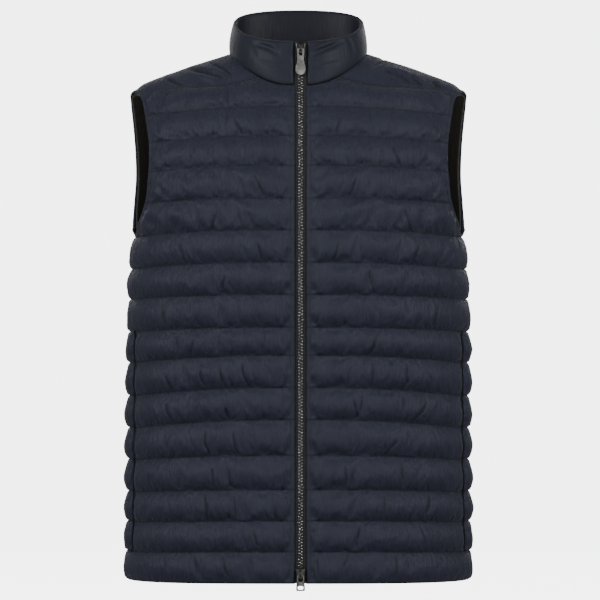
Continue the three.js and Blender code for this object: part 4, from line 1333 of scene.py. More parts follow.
@dataclass
class Front(QuiltedWall):
    """One front of the vest."""

    hand: Hand = Hand.LEFT
    zip_stitches: float = 3.2
    zip_roll: float = 0.12
    zip_rise: float = 11
    spacing: float = 1.5
    slit_half: float = 1.9
    slit_sunk: float = 0.5
    slit_flat: float = 0.72
    slit_fade: float = 7.0
    slit_ends: float = 0.12
    edge_reach: float = 1.9
    hem_drop: float = 1.6

    def slit_distance(self, length: Array, level: Array) -> tuple[Array, Array]:
        """How the pocket's slit lies.

        Args:
            length: Distance along the rows of each point.
            level: Level of each row.

        Returns:
            Distance of each point from the slit, and whether it runs past each row, from 0 to 1.
        """
        at = np.array([np.interp(POCKET_COLUMN, self.column, row) for row in length])[:, None]
        starts = smoothstep(level, POCKET_LOW, POCKET_LOW + self.slit_ends)
        ends = smoothstep(level, POCKET_HIGH - self.slit_ends, POCKET_HIGH)
        return length - at, (starts * (1 - ends))[:, None]

    def build(self) -> Piece:
        """Makes the front.

        Returns:
            The finished object; its outer grid stays in self.outer.
        """
        edge = self.form.zip_edge(self.hand)
        level, share, channel = self.rows_of([(k, k + 1, 0.0, 1.0) for k in range(FRONT_TOP_LINE + 1)])
        points = lambda lev, col: self.form.front_points(edge, lev, col)
        self.column, used = self.columns_of(points, self.measured_level)
        sewn = points(*np.meshgrid(level, self.column, indexing="ij"))
        normals = grid_normals(sewn)
        puff = np.array([SEWN_LINES[int(k)].puff for k in channel])
        length = row_lengths(sewn)
        from_side = length[:, -1:] - length
        near = self.hem_roll(length, self.zip_stitches, self.zip_roll, self.zip_rise)
        open_above = (level > ARMPIT_LINE)[:, None]
        far = self.side_share(from_side, open_above)
        across = self.profile(share)
        edge_fade = smoothstep(length, self.zip_stitches, self.calm)
        edge_fade = edge_fade * smoothstep(from_side, self.seam_calm, self.calm) * self.hem_fade(level)
        beside, along = self.slit_distance(length, level)
        flat = 1 - self.slit_flat * np.exp(-((beside / self.slit_fade) ** 2)) * along
        lift = puff[:, None] * across[:, None] * near * far * flat * self.lumps(length, channel)
        wrinkles = self.puckers(length, share, channel, lambda at: 0.25 + 0.5 * at / 200) * edge_fade
        x = self.hand.value * sewn[..., 0]
        for crease in self.creases:
            wrinkles += crease.lift(x, sewn[..., 2]) * edge_fade * smoothstep(across, 0.05, 0.6)[:, None]
        wrinkles *= flat**2
        mirror = np.array([self.hand.value, 1, 1])
        self.sewn, self.normals, self.level = sewn * mirror, normals * mirror, level
        raised = sewn + normals * np.maximum(lift, self.deepest)[..., None]
        pinned = np.zeros(lift.shape, bool)
        pinned[:: self.rows_per_channel] = True
        pinned[:, -1] = pinned[:, 0] = True
        pinned |= np.abs(length - self.zip_stitches) < 0.55 * self.spacing
        pinned |= open_above & (np.abs(from_side - self.arm_stitches) < 0.55 * self.spacing)
        held = (np.abs(np.abs(beside) - self.slit_half) < 0.6 * self.spacing) & (along > 0.5)
        outer = self.fill_out(raised, sewn, normals, pinned | held)
        outer = self.wrinkle(outer, sewn, normals, wrinkles)
        opening = np.exp(-((beside / self.slit_half) ** 4)) * along
        outer = lerp(outer, sewn - normals * self.slit_sunk, opening[..., None])
        outer[..., 0] -= self.edge_reach * np.clip(1 - length / self.zip_stitches, 0, 1)
        outer[..., 2] -= self.hem_drop * np.clip(1 - level / 0.2, 0, 1)[:, None] ** 2
        self.outer = outer * mirror
        self.length = length
        inner = (sewn - normals * self.wall) * mirror
        rows = self.used_rows()
        grid = WallGrid(self.outer, inner, rows, used, np.ones((len(rows) - 1, len(used) - 1), bool))
        return self.finish_wall(share, grid, opening, wrinkles)

    def line(self, distance: float, from_zip: bool, low: float, high: float, out: float) -> Array:
        """Points along the outer cloth at a fixed distance from one edge.

        Args:
            distance: Distance from the edge.
            from_zip: Whether the edge is the zip's, else the side's or armhole's.
            low: Level it starts from.
            high: Level it ends at.
            out: How far the points stand off the cloth.

        Returns:
            The points.
        """
        points = []
        for r in np.flatnonzero((self.level >= low) & (self.level <= high)):
            place, normal = self.reading(r, distance if from_zip else self.length[r, -1] - distance)
            points.append(place + out * normal)
        return np.array(points)


@dataclass
class PocketWelt:
    """The welt beside a pocket's slit; it follows the channels of its front."""

    front: Front
    wide: float = 9.0
    clear: float = 0.9
    thick: float = 1.1
    across: int = 7

    def build(self) -> Piece:
        """Makes the welt.

        Returns:
            The finished object.
        """
        front = self.front
        rows = np.flatnonzero((front.level >= POCKET_LOW) & (front.level <= POCKET_HIGH))
        shares = np.linspace(0, 1, self.across)
        rounding = np.sqrt(np.maximum(0, 1 - (2 * shares - 1) ** 6))
        loops = []
        for r in rows:
            slit = float(np.interp(POCKET_COLUMN, front.column, front.length[r]))
            place, normal = front.reading(r, slit + front.slit_half + 0.1 + shares * self.wide)
            normal = unit(normal)
            top = place + normal * (self.clear + self.thick * rounding)[:, None]
            base = place + normal * (self.clear * 0.2)
            loops.append(np.concatenate([top, base[::-1]]))
        middle = np.array(loops)[:, self.across // 2]
        self.length = float(np.linalg.norm(np.diff(middle, axis=0), axis=1).sum())
        obj = loft(f"pocket_welt_{front.hand.label}_folded", np.array(loops))
        ring = 2 * self.across
        # painted shade near the stitched lines as on the front, and near-black painted shadow on the edges beside
        # the slit
        near = np.repeat(line_distance(front.level[rows] % 1.0), ring).reshape(-1, ring)
        near[:, [0, -1]] = SLIT_PAINTED_SHADOW
        set_attribute(obj, "from_line", near.ravel())
        return dress(obj, NYLON)


@dataclass
class Back(QuiltedWall):
    """The back, cut in one over the shoulders down to the forward seams."""

    def build(self) -> Piece:
        """Makes the back.

        Returns:
            The finished object.
        """
        channels = [(float(k), k + 1.0, 0.0, 1.0) for k in range(BACK_TOP_LINE + 1)]
        ridge = BACK_TOP_LINE + 1
        channels += [(ridge, ridge + 1, 0.0, 0.5), (ridge + 1, ridge + 2, 0.5, 1.0)]
        level, share, channel = self.rows_of(channels)
        points = self.form.back_points
        half, used = self.columns_of(points, self.measured_level)
        column = np.concatenate([-half[:0:-1], half])
        last = len(half) - 1
        columns = sorted({last - c for c in used} | {last + c for c in used})
        sewn = points(*np.meshgrid(level, np.abs(column), indexing="ij"))
        sewn[..., 0] *= np.sign(column)
        normals = -grid_normals(sewn)
        puff = np.array([SEWN_LINES[min(int(k), BACK_TOP_LINE)].puff for k in channel])
        length = row_lengths(sewn)
        length -= length[:, last : last + 1]
        from_side = np.where(column < 0, length - length[:, :1], length[:, -1:] - length)
        open_above = (level > ARMPIT_LINE)[:, None]
        far = self.side_share(from_side, open_above)
        across = self.profile(share)
        edge_fade = smoothstep(from_side, self.seam_calm, self.calm) * self.hem_fade(level)
        lift = puff[:, None] * across[:, None] * far * self.lumps(length, channel)
        wrinkles = self.puckers(length, share, channel, lambda at: 0.5 * at / 200) * edge_fade
        full = smoothstep(across, 0.05, 0.6)[:, None]
        for crease in self.creases:
            wrinkles += crease.lift(sewn[..., 0], sewn[..., 2]) * edge_fade * full
        raised = sewn + normals * np.maximum(lift, self.deepest)[..., None]
        self.sewn, self.normals, self.length = sewn, normals, length
        self.column, self.level = column, level
        pinned = np.zeros(lift.shape, bool)
        pinned[:: self.rows_per_channel] = True
        # the last channel has a row of points in its middle that only the neck seam holds
        aside = np.abs(column)
        pinned[level >= ridge + 1 - 1e-6] |= aside < NECK_COLUMNS
        pinned[-1 - self.rows_per_channel] = aside <= NECK_COLUMNS
        pinned[level >= ridge] |= np.abs(aside - NECK_COLUMNS) < 0.02
        pinned[:, 0] = pinned[:, -1] = True
        pinned |= open_above & (np.abs(from_side - self.arm_stitches) < 0.55 * self.spacing)
        self.outer = self.wrinkle(self.fill_out(raised, sewn, normals, pinned), sewn, normals, wrinkles)
        inner = sewn - normals * self.wall
        rows = self.used_rows()
        middle_column = (column[columns[:-1]] + column[columns[1:]]) / 2
        middle_level = (level[rows[:-1]] + level[rows[1:]]) / 2
        over_neck = (middle_level > ridge)[:, None] & (np.abs(middle_column) < NECK_COLUMNS)
        grid = WallGrid(self.outer, inner, rows, columns, ~over_neck)
        return self.finish_wall(share, grid, np.zeros(length.shape), wrinkles)

    def armhole_line(self, side: int, out: float) -> Array:
        """Points along the outer cloth where an armhole's edge is stitched.

        Args:
            side: 1 on the wearer's left and -1 on the right.
            out: How far the points stand off the cloth.

        Returns:
            The points, from the armpit up.
        """
        points = []
        for r in np.flatnonzero(self.level >= ARMPIT_LINE + 0.1):
            row = self.length[r]
            at = row[-1] - self.arm_stitches if side > 0 else row[0] + self.arm_stitches
            place, normal = self.reading(r, at)
            points.append(place + out * normal)
        return np.array(points)


# ---- Collar ----


@dataclass
class Collar:
    """The padded stand collar."""

    form: VestForm
    half: float = 83.5
    top_front: float = 84.5
    back: float = 53
    top_side_z: float = 44
    top_tilt: float = 0.385
    lift: float = 0.5
    end_puff: float = 0.2
    taper: float = 30
    section_points: int = 44
    height: float = 50
    # painted shade on the collar's inside, and the width of the painted shadow along the neck seam
    inside_shade: float = 0.6
    seam_dark: float = 2.2
    creases: tuple[Crease, ...] = crease_table(
        (2.8, -3, -53, 11, -44, 7.5, -34, 3.5, -25, -3), (2.8, 1.8, -50, 17.5, -39, 13, -28, 9),
        (2.4, -1.8, -66, 16, -58, 8, -52, -6), (2.9, -3.3, 18, -4, 30, 2.5, 43, 8, 55, 15),
        (2.8, 2, 22, 4, 34, 10, 47, 16), (2.4, -1.8, 60, 22, 66, 12, 68, -2),
        (2.2, -1.6, 12, -19, 34, -17.5, 52, -12), (2.2, -1.6, -12, -18, -32, -17, -50, -11),
    )
    behind: tuple[Crease, ...] = crease_table(
        (3.4, -1.6, -46, 30, -20, 34, 8, 31), (3, -1.3, 10, 46, 34, 41, 56, 33),
        (2.8, -1.1, -62, 40, -48, 48, -30, 50),
    )

    SECTION = (
        (0, 0), (0.14, 1.7), (0.38, 2.8), (0.64, 2.5), (0.86, 1.3), (0.97, 0.2), (1, -1.6),
        (0.985, -3.6), (0.93, -4.8), (0.6, -5.6), (0.25, -5.4), (0, -4.2),
    )

    def section(self) -> Array:
        """The collar's closed section, finely divided: share of the height, and distance out."""
        knots = np.array([*self.SECTION, self.SECTION[0]], float)
        run = row_lengths(knots * [self.height, 1])
        at = np.linspace(0, run[-1], self.section_points, endpoint=False)
        up = Curve(tuple(run), tuple(knots[:, 0]))(at)
        out = Curve(tuple(run), tuple(knots[:, 1]))(at)
        return np.stack([np.clip(up, 0, 1), out], axis=1)

    def half_loops(self, hand: Hand) -> Array:
        """Sections from the zip round to the middle of the back.

        Args:
            hand: Which half.

        Returns:
            Loops by points by 4: the points, and the distance for painted shade: how far each counts as from the
                neck seam, with a near-black painted shadow at the seam and painted shade on the inside.
        """
        form = self.form
        edge = form.zip_edge(hand)
        start = float(form.neck_turn(edge, True))
        turns = np.linspace(start, 180, 90)
        base = form.shoulder_point(*form.neck_place(turns)) + [0, 0, self.lift]
        _, y = form.neck_outline(turns, self.half, self.top_front, self.back)
        from_zip = np.maximum(0, base[:, 0] - edge)
        top_x = np.minimum(base[:, 0], edge) + from_zip * (self.half - edge) / (form.neck_half - edge)
        top_y = form.ridge_y + y
        top = np.stack([top_x, top_y, self.top_side_z + self.top_tilt * top_y], axis=-1)
        reach = np.where(y < 0, self.top_front, self.back)
        outward = unit(np.stack([from_zip / self.half**2, y / reach**2, 0 * y], axis=-1))
        gentle = 1 + 0.15 * np.sin(np.radians(turns) * 7 * hand.value)
        fullness = lerp(self.end_puff, gentle, smoothstep(from_zip, 0, self.taper))
        up, plain = self.section().T
        out = np.where(plain > 0, plain * fullness[:, None], plain)
        flat = lerp(base[:, None], top[:, None], up[:, None])
        x, z = hand.value * flat[..., 0], flat[..., 2]
        ahead = (y < 0)[:, None]
        face = smoothstep(plain, 0.1, 1.2)
        out = out + face * np.where(ahead, sum(c.lift(x, z) for c in self.creases), 0)
        out = out + face * np.where(ahead, 0, sum(c.lift(x, z) for c in self.behind))
        points = flat + outward[:, None] * out[..., None]
        # painted shade on the inside, and a near-black painted shadow line along the neck seam
        shade = np.where(plain < -1, self.inside_shade, self.height * up - self.seam_dark)
        shade = np.broadcast_to(shade, out.shape)
        return np.concatenate([points * [hand.value, 1, 1], shade[..., None]], axis=-1)

    def build(self) -> Piece:
        """Makes the collar.

        Returns:
            The finished object.
        """
        left = self.half_loops(Hand.LEFT)
        right = self.half_loops(Hand.RIGHT)[:-1]
        loops = np.concatenate([left, right[::-1]])
        obj = loft("collar_padded", loops[..., :3])
        shade = np.full(len(obj.data.vertices), FAR_FROM_LINE)
        shade[: loops[..., 3].size] = loops[..., 3].ravel()
        set_attribute(obj, "from_line", shade)
        return dress(obj, SHADED_COLLAR_NYLON)


# ---- Armholes ----


@dataclass
class Binding:
    """The ribbed elastic inside one armhole."""

    form: VestForm
    hand: Hand
    reach: float = 22
    thickness: float = 1.2
    depth: float = 4.1
    smoothing: int = 12

    def build(self, front: Front, back: Back) -> Piece:
        """Makes the band from the sewn edges of the two panels.

        Args:
            front: The front on the same side.
            back: The back.

        Returns:
            The finished object.
        """
        last = back.sewn.shape[1] - 1 if self.hand is Hand.LEFT else 0
        ahead = np.flatnonzero(front.level >= ARMPIT_LINE)[::4]
        behind = np.flatnonzero(back.level > ARMPIT_LINE)[::4][::-1]
        edge = np.concatenate([front.sewn[ahead, -1], back.sewn[behind, last]])
        outward = unit(np.concatenate([front.normals[ahead, -1], back.normals[behind, last]]))
        tangent = unit(np.roll(edge, -1, axis=0) - np.roll(edge, 1, axis=0))
        inland = unit(np.cross(tangent, outward)) * -self.hand.value
        for _ in range(self.smoothing):
            outward, inland = (
                unit(np.roll(v, 1, axis=0) + 2 * v + np.roll(v, -1, axis=0)) for v in (outward, inland)
            )
        self.length = float(np.linalg.norm(np.roll(edge, -1, axis=0) - edge, axis=1).sum())
        shares = np.linspace(0, 1, 12)
        across = edge[:, None] + inland[:, None] * (shares * self.reach)[:, None]
        face = across - outward[:, None] * self.depth
        rear = across - outward[:, None] * (self.depth + self.thickness)
        loops = np.concatenate([face, rear[:, ::-1]], axis=1)
        obj = loft(f"armhole_elastic_{self.hand.label}", loops, ring=True)
        return dress(obj, ELASTIC)


# ---- Zip ----


class Recipe:
    """A Geometry Nodes tree under construction, with named inputs."""

    def __init__(self, name: str, sizes: dict[str, float]) -> None:
        """Starts a tree that takes a geometry and some sizes.

        Args:
            name: Name of the tree.
            sizes: Value of each named input, in metres or plain numbers.
        """
        self.tree = bpy.data.node_groups.new(name, "GeometryNodeTree")
        self.sizes = sizes
        sockets = self.tree.interface
        sockets.new_socket("Geometry", in_out="INPUT", socket_type="NodeSocketGeometry")
        self.keys = {}
        for key, value in sizes.items():
            made = sockets.new_socket(key, in_out="INPUT", socket_type="NodeSocketFloat")
            made.default_value = value
            self.keys[key] = made.identifier
        sockets.new_socket("Geometry", in_out="OUTPUT", socket_type="NodeSocketGeometry")
        self.source = self.tree.nodes.new("NodeGroupInput")
        self.end = self.tree.nodes.new("NodeGroupOutput")
        path = {"Mesh": self.source.outputs["Geometry"]}
        self.curve = self.node("GeometryNodeMeshToCurve", {}, path).outputs[0]

    def node(self, kind: str, settings: dict[str, Any], inputs: dict[Any, Any]) -> bpy.types.Node:
        """Adds a node.

        Args:
            kind: The node's type.
            settings: Its properties.
            inputs: Values or sockets for its sockets.

        Returns:
            The node.
        """
        made = self.tree.nodes.new(kind)
        for key, value in settings.items():
            setattr(made, key, value)
        for key, value in inputs.items():
            if isinstance(value, bpy.types.NodeSocket):
                self.tree.links.new(value, made.inputs[key])
            else:
                made.inputs[key].default_value = value
        return made

    def close(
        self, points: bpy.types.Node, shape: Piece, turn: Any, material: bpy.types.Material
    ) -> None:
        """Ends the tree: the shape at every point, realized and given its material.

        Args:
            points: Node whose first output has the points.
            shape: The object that is repeated.
            turn: Socket with the rotation of each one.
            material: Material of all of them.
        """
        self.shape = shape
        info = self.node("GeometryNodeObjectInfo", {}, {"Object": shape})
        placed = self.node(
            "GeometryNodeInstanceOnPoints",
            {},
            {"Points": points.outputs[0], "Instance": info.outputs["Geometry"], "Rotation": turn},
        )
        real = self.node("GeometryNodeRealizeInstances", {}, {"Geometry": placed.outputs[0]})
        done = self.node("GeometryNodeSetMaterial", {}, {"Geometry": real.outputs[0], "Material": material})
        self.tree.links.new(done.outputs[0], self.end.inputs[0])

    def bake(self, name: str, runs: Sequence[Array]) -> Piece:
        """Runs the tree along some runs of points; the repeated shape is removed.

        Args:
            name: Name of the result.
            runs: The runs, in millimetres.

        Returns:
            The result as a plain mesh object, at the origin.
        """
        path = path_object(f"{name}_run", runs)
        modifier = path.modifiers.new("repeat", "NODES")
        modifier.node_group = self.tree
        for key, value in self.sizes.items():
            modifier[self.keys[key]] = value
        bpy.context.view_layer.update()
        mesh = bpy.data.meshes.new_from_object(path.evaluated_get(bpy.context.evaluated_depsgraph_get()))
        mesh.name = name
        bpy.data.objects.remove(path)
        bpy.data.objects.remove(self.shape)
        return placed(name, mesh)


def path_object(name: str, runs: Sequence[Array]) -> Piece:
    """An object of edges only along some runs of points."""
    points = np.concatenate(list(runs)) * MM
    edges, start = [], 0
    for run in runs:
        edges += [(start + k, start + k + 1) for k in range(len(run) - 1)]
        start += len(run)
    mesh = bpy.data.meshes.new(name)
    mesh.from_pydata(points.tolist(), edges, [])
    return placed(name, mesh)


def rounded_section(wide: float, deep: float, power: float, count: int) -> Array:
    """A closed section of a bar: from a circle, 2, towards a box."""
    turn = np.linspace(0, 2 * np.pi, count, endpoint=False) + np.pi / count
    c, s = np.cos(turn), np.sin(turn)
    x = np.sign(c) * np.abs(c) ** (2 / power) * wide / 2
    y = np.sign(s) * np.abs(s) ** (2 / power) * deep / 2
    return np.stack([x, y], axis=1)


def plate(name: str, rings: Sequence[Array], thick: float, edge: float) -> Piece:
    """A flat plate with softened edges in the XZ plane, centred on y = 0.

    Args:
        name: Name of the object.
        rings: Outline and holes, points (x, z).
        thick: Thickness of the plate.
        edge: Radius of its edges.

    Returns:
        The plate as a mesh object.
    """
    curve = bpy.data.curves.new(name, "CURVE")
    curve.dimensions = "2D"
    curve.fill_mode = "BOTH"
    curve.extrude = thick / 2 * MM
    for ring in rings:
        spline = curve.splines.new("POLY")
        spline.points.add(len(ring) - 1)
        for knot, (x, z) in zip(spline.points, ring):
            knot.co = (x * MM, z * MM, 0, 1)
        spline.use_cyclic_u = True
    drawn = placed(name, curve)
    mesh = bpy.data.meshes.new_from_object(drawn.evaluated_get(bpy.context.evaluated_depsgraph_get()))
    bpy.data.objects.remove(drawn)
    shape = bmesh.new()
    shape.from_mesh(mesh)
    bmesh.ops.remove_doubles(shape, verts=shape.verts[:], dist=1e-6)
    sharp = [e for e in shape.edges if len(e.link_faces) == 2 and e.calc_face_angle() > 1.0]
    bmesh.ops.bevel(
        shape, geom=sharp, offset=edge * MM, segments=2, profile=0.5, affect="EDGES", clamp_overlap=True
    )
    for vertex in shape.verts:
        x, z, y = vertex.co
        vertex.co = (x, -y, z)
    bmesh.ops.recalc_face_normals(shape, faces=shape.faces[:])
    shape.to_mesh(mesh)
    shape.free()
    return placed(name, mesh)


def join(name: str, parts: Sequence[Piece], place: Array) -> Piece:
    """One mesh object of several closed parts, moved to a place in millimetres."""
    shape = bmesh.new()
    for part in parts:
        shape.from_mesh(part.data)
        bpy.data.objects.remove(part)
    bmesh.ops.remove_doubles(shape, verts=shape.verts[:], dist=1e-7)
    bmesh.ops.translate(shape, verts=shape.verts[:], vec=[float(c) * MM for c in place])
    mesh = bpy.data.meshes.new(name)
    shape.to_mesh(mesh)
    shape.free()
    mesh.shade_smooth()
    return placed(name, mesh)


@dataclass(frozen=True)
class ZipTapes:
    """The two woven tapes, from under the teeth to behind the front edges."""

    form: VestForm
    low: float = -667.2
    thick: float = 0.9
    step: float = 8.0
    # distance from the zip's centre, and depth behind its path
    section: tuple[tuple[float, float], ...] = (
        (0.0, 3.5), (2.4, 3.2), (3.6, 1.9), (4.8, 1.5), (6.6, 1.6), (7.8, 2.4), (9.3, 3.3), (13.5, 3.5),
    )

    @property
    def top(self) -> float:
        """Height at which the tapes turn in, just under the collar's top edge."""
        return self.form.collar_front[1] - 1

    def build(self, hand: Hand) -> Piece:
        """Makes one tape.

        Args:
            hand: The wearer's side.

        Returns:
            The tape.
        """
        heights = np.linspace(self.low, self.top, round((self.top - self.low) / self.step))
        table = np.array(self.section)
        x = np.linspace(table[0, 0], table[-1, 0], 20)
        y = np.interp(x, table[:, 0], table[:, 1])
        loops = []
        for z in heights:
            depth = float(self.form.zip_y(z)) + y - self.thick / 2
            face = np.stack([self.form.zip_centre + hand.value * x, depth, 0 * x + z], axis=1)
            loops.append(np.concatenate([face, face[::-1] + [0, self.thick, 0]]))
        return dress(loft(f"zip_tape_{hand.label}_woven", np.array(loops)), TAPE)

    def flat(self) -> tuple[float, float]:
        """Width and length of one tape before it is sewn in."""
        table = np.array(self.section)
        width = float(np.linalg.norm(np.diff(table, axis=0), axis=1).sum())
        return width, self.top - self.low


@dataclass(frozen=True)
class ZipTeeth:
    """Single metal teeth that close from both sides in turn."""

    form: VestForm
    low: float = -648.6
    high: float = -2.4
    pitch: float = 3.8
    depth: float = 1.5
    # along the tooth from its clamp to its nose: distance past the centre, depth, height
    stations: tuple[tuple[float, float, float], ...] = (
        (-3.3, 1.4, 0.8), (-3.05, 2.5, 1.4), (-2.5, 3.2, 1.8), (-1.4, 3.2, 1.8), (-0.7, 2.3, 1.4), (0.1, 1.2, 0.8),
    )

    def tooth(self) -> Piece:
        """One tooth, which reaches from -X past the middle."""
        loops = []
        for x, deep, tall in self.stations:
            section = rounded_section(deep, tall, 2.3, 8)
            loops.append(np.stack([np.full(8, x), section[:, 0], section[:, 1]], axis=1))
        return loft("one_tooth", np.array(loops))

    def build(self) -> Piece:
        """Makes the closed chain.

        Returns:
            All the teeth in one object.
        """
        z = np.linspace(self.low, self.high, 200)
        run = np.stack([np.full(200, self.form.zip_centre), self.form.zip_y(z) + self.depth, z], axis=1)
        recipe = Recipe("zip_teeth", {"Pitch": self.pitch * MM})
        pitch = recipe.source.outputs["Pitch"]
        half = recipe.node("ShaderNodeMath", {"operation": "MULTIPLY"}, {0: pitch, 1: 0.5})
        spaced = recipe.node(
            "GeometryNodeResampleCurve", {"mode": "LENGTH"}, {"Curve": recipe.curve, "Length": half.outputs[0]}
        )
        index = recipe.node("GeometryNodeInputIndex", {}, {})
        other = recipe.node("ShaderNodeMath", {"operation": "MODULO"}, {0: index.outputs[0], 1: 2.0})
        turn = recipe.node("ShaderNodeMath", {"operation": "MULTIPLY"}, {0: other.outputs[0], 1: math.pi})
        euler = recipe.node("ShaderNodeCombineXYZ", {}, {"Z": turn.outputs[0]})
        recipe.close(spaced, self.tooth(), euler.outputs[0], TEETH_METAL.material())
        return recipe.bake("zip_teeth", [run])


@dataclass(frozen=True)
class Slider:
    """A cast slider: two plates round the teeth, a post between them and a bridge for the pull."""

    name: str
    form: VestForm
    top: float
    wide: float = 13.3
    narrow: float = 8.6
    long: float = 15.5
    shoulder: float = 10.5
    face: float = -3.0
    bridge_wide: float = 2.4
    bridge_out: float = 4.6
    bridge_top: float = 2.6
    bridge_bottom: float = 11.8

    def outline(self, inset: float) -> Array:
        """The plate's outline, a rounded body that narrows to its mouth."""
        half = Curve.through(
            (0, 0.62 * self.wide / 2),
            (0.7, 0.88 * self.wide / 2),
            (2.4, self.wide / 2),
            (6, 0.985 * self.wide / 2),
            (self.shoulder, 0.9 * self.wide / 2),
            (self.long - 1.5, 1.02 * self.narrow / 2),
            (self.long, 0.9 * self.narrow / 2),
        )
        down = np.linspace(0, self.long, 26)
        drop = lerp(inset, self.long - inset, down / self.long)
        right = np.stack([np.maximum(half(down) - inset, 0.3), -drop], axis=1)
        return np.concatenate([right, right[::-1] * [-1, 1]])

    def _plate(self, name: str, *steps: tuple[float, float]) -> Piece:
        """A plate through its outline at steps of (inset, depth)."""
        return loft(name, np.array([np.insert(self.outline(i), 1, y, axis=1) for i, y in steps]))

    def _bar(self, name: str, path: Array, wide: float, deep: float) -> Piece:
        """A bar of rounded section.

        Args:
            name: Name of the object.
            path: Points (y, z) that it runs along.
            wide: Size along X.
            deep: Size across the path.

        Returns:
            The bar.
        """
        tangent = unit(np.gradient(path, axis=0))
        section = rounded_section(wide, deep, 3.0, 12)
        loops = []
        for (y, z), (ty, tz) in zip(path, tangent):
            loops.append(np.stack([section[:, 0], y - tz * section[:, 1], z + ty * section[:, 1]], axis=1))
        return loft(name, np.array(loops))

    def build(self) -> Piece:
        """Makes the slider in place.

        Returns:
            The finished object.
        """
        place = [self.form.zip_centre, float(self.form.zip_y(self.top - self.long / 2)), self.top]
        turn = np.linspace(0, np.pi, 15)
        middle = (self.bridge_top + self.bridge_bottom) / 2
        reach = (self.bridge_bottom - self.bridge_top) / 2 - 0.6
        squared = np.sign(np.cos(turn)) * np.abs(np.cos(turn)) ** 0.5
        out = self.face + 0.8 - (self.bridge_out + 0.2) * np.sin(turn) ** 0.5
        arch = np.stack([out, -middle + reach * squared], axis=1)
        post = np.array([[0.0, -self.long / 2], [3.0, -self.long / 2]])
        parts = [
            self._plate("front_plate", (0, 0.2), (0, -1.2), (0.35, -1.9), (1.1, -2.55), (2.3, self.face)),
            self._plate("rear_plate", (0.5, 2.8), (0, 3.1), (0, 3.7), (0.6, 4.2)),
            self._bar("bridge", arch, self.bridge_wide, 1.2),
            self._bar("post", post, 5.6, 7.5),
        ]
        return dress(join(self.name, parts, np.array(place)), SLIDER_METAL)


@dataclass(frozen=True)
class Pull:
    """A flat cast pull with a slot for the bridge. Heights are from its pivot."""

    name: str
    form: VestForm
    slider_top: float
    stations: tuple[tuple[float, float], ...]
    holes: tuple[tuple[float, float, float], ...]
    thick: float = 1.6
    pivot_down: float = 9.3
    pivot_out: float = -4.7
    bar: float = 1.4
    finish: Metal = PULL_METAL

    def outline(self) -> Array:
        """The edge, smooth through the stations (down, half width)."""
        half = Curve.through(*self.stations)
        down = np.linspace(0, self.stations[-1][0], 60)
        right = np.stack([half(down), self.bar / 2 - down], axis=1)
        return np.concatenate([right, right[::-1] * [-1, 1]])

    def hole(self, half: float, top: float, bottom: float) -> Array:
        """A slot with round corners between two distances below the pivot."""
        section = rounded_section(2 * half, bottom - top, 5.0, 28)
        return section - [0, (top + bottom) / 2]

    def build(self) -> Piece:
        """Makes the pull in place.

        Returns:
            The finished object.
        """
        rings = [self.outline(), *(self.hole(*h) for h in self.holes)]
        y = float(self.form.zip_y(self.slider_top - Slider.long / 2)) + self.pivot_out
        place = [self.form.zip_centre, y, self.slider_top - self.pivot_down]
        body = plate("pull_plate", rings, self.thick, 0.35)
        return dress(join(self.name, [body], np.array(place)), self.finish)


@dataclass(frozen=True)
class Stitches:
    """Short thread stitches along sewn lines."""

    pitch: float = 3.2
    long: float = 2.3
    radius: float = 0.2
    sides: int = 5

    def one(self) -> Piece:
        """One stitch along Z."""
        turn = np.linspace(0, 2 * np.pi, self.sides, endpoint=False)
        circle = np.stack([np.cos(turn), np.sin(turn)], axis=1)
        loops = []
        for share, wide in ((-0.5, 0.55), (0, 1.0), (0.5, 0.55)):
            ring = circle * self.radius * wide
            loops.append(np.column_stack([ring, np.full(self.sides, share * self.long)]))
        return loft("one_stitch", np.array(loops))

    def build(self, name: str, runs: Sequence[Array]) -> Piece:
        """Sews along some runs of points.

        Args:
            name: Name of the object.
            runs: The runs, in millimetres.

        Returns:
            All the stitches in one object.
        """
        recipe = Recipe(name, {"Pitch": self.pitch * MM})
        places = recipe.node(
            "GeometryNodeCurveToPoints",
            {"mode": "LENGTH"},
            {"Curve": recipe.curve, "Length": recipe.source.outputs["Pitch"]},
        )
        recipe.close(places, self.one(), places.outputs["Rotation"], NAVY_THREAD.material())
        return recipe.bake(name, runs)


TOP_SLIDER_Z = 12.2
BOTTOM_SLIDER_Z = -647.6
TOP_PULL = (
    (0, 3.9), (0.8, 4.5), (8.5, 4.5), (14.5, 3.8), (18, 4.5), (22, 5.9), (25.5, 6.3), (28.5, 6), (31, 4.8),
    (32.6, 3), (33.3, 1.1),
)
BOTTOM_PULL = ((0, 3.9), (0.8, 4.6), (8, 4.7), (13.5, 5.4), (18.9, 5.5), (19.9, 4.7))


# ---- Camera, light, floor ----


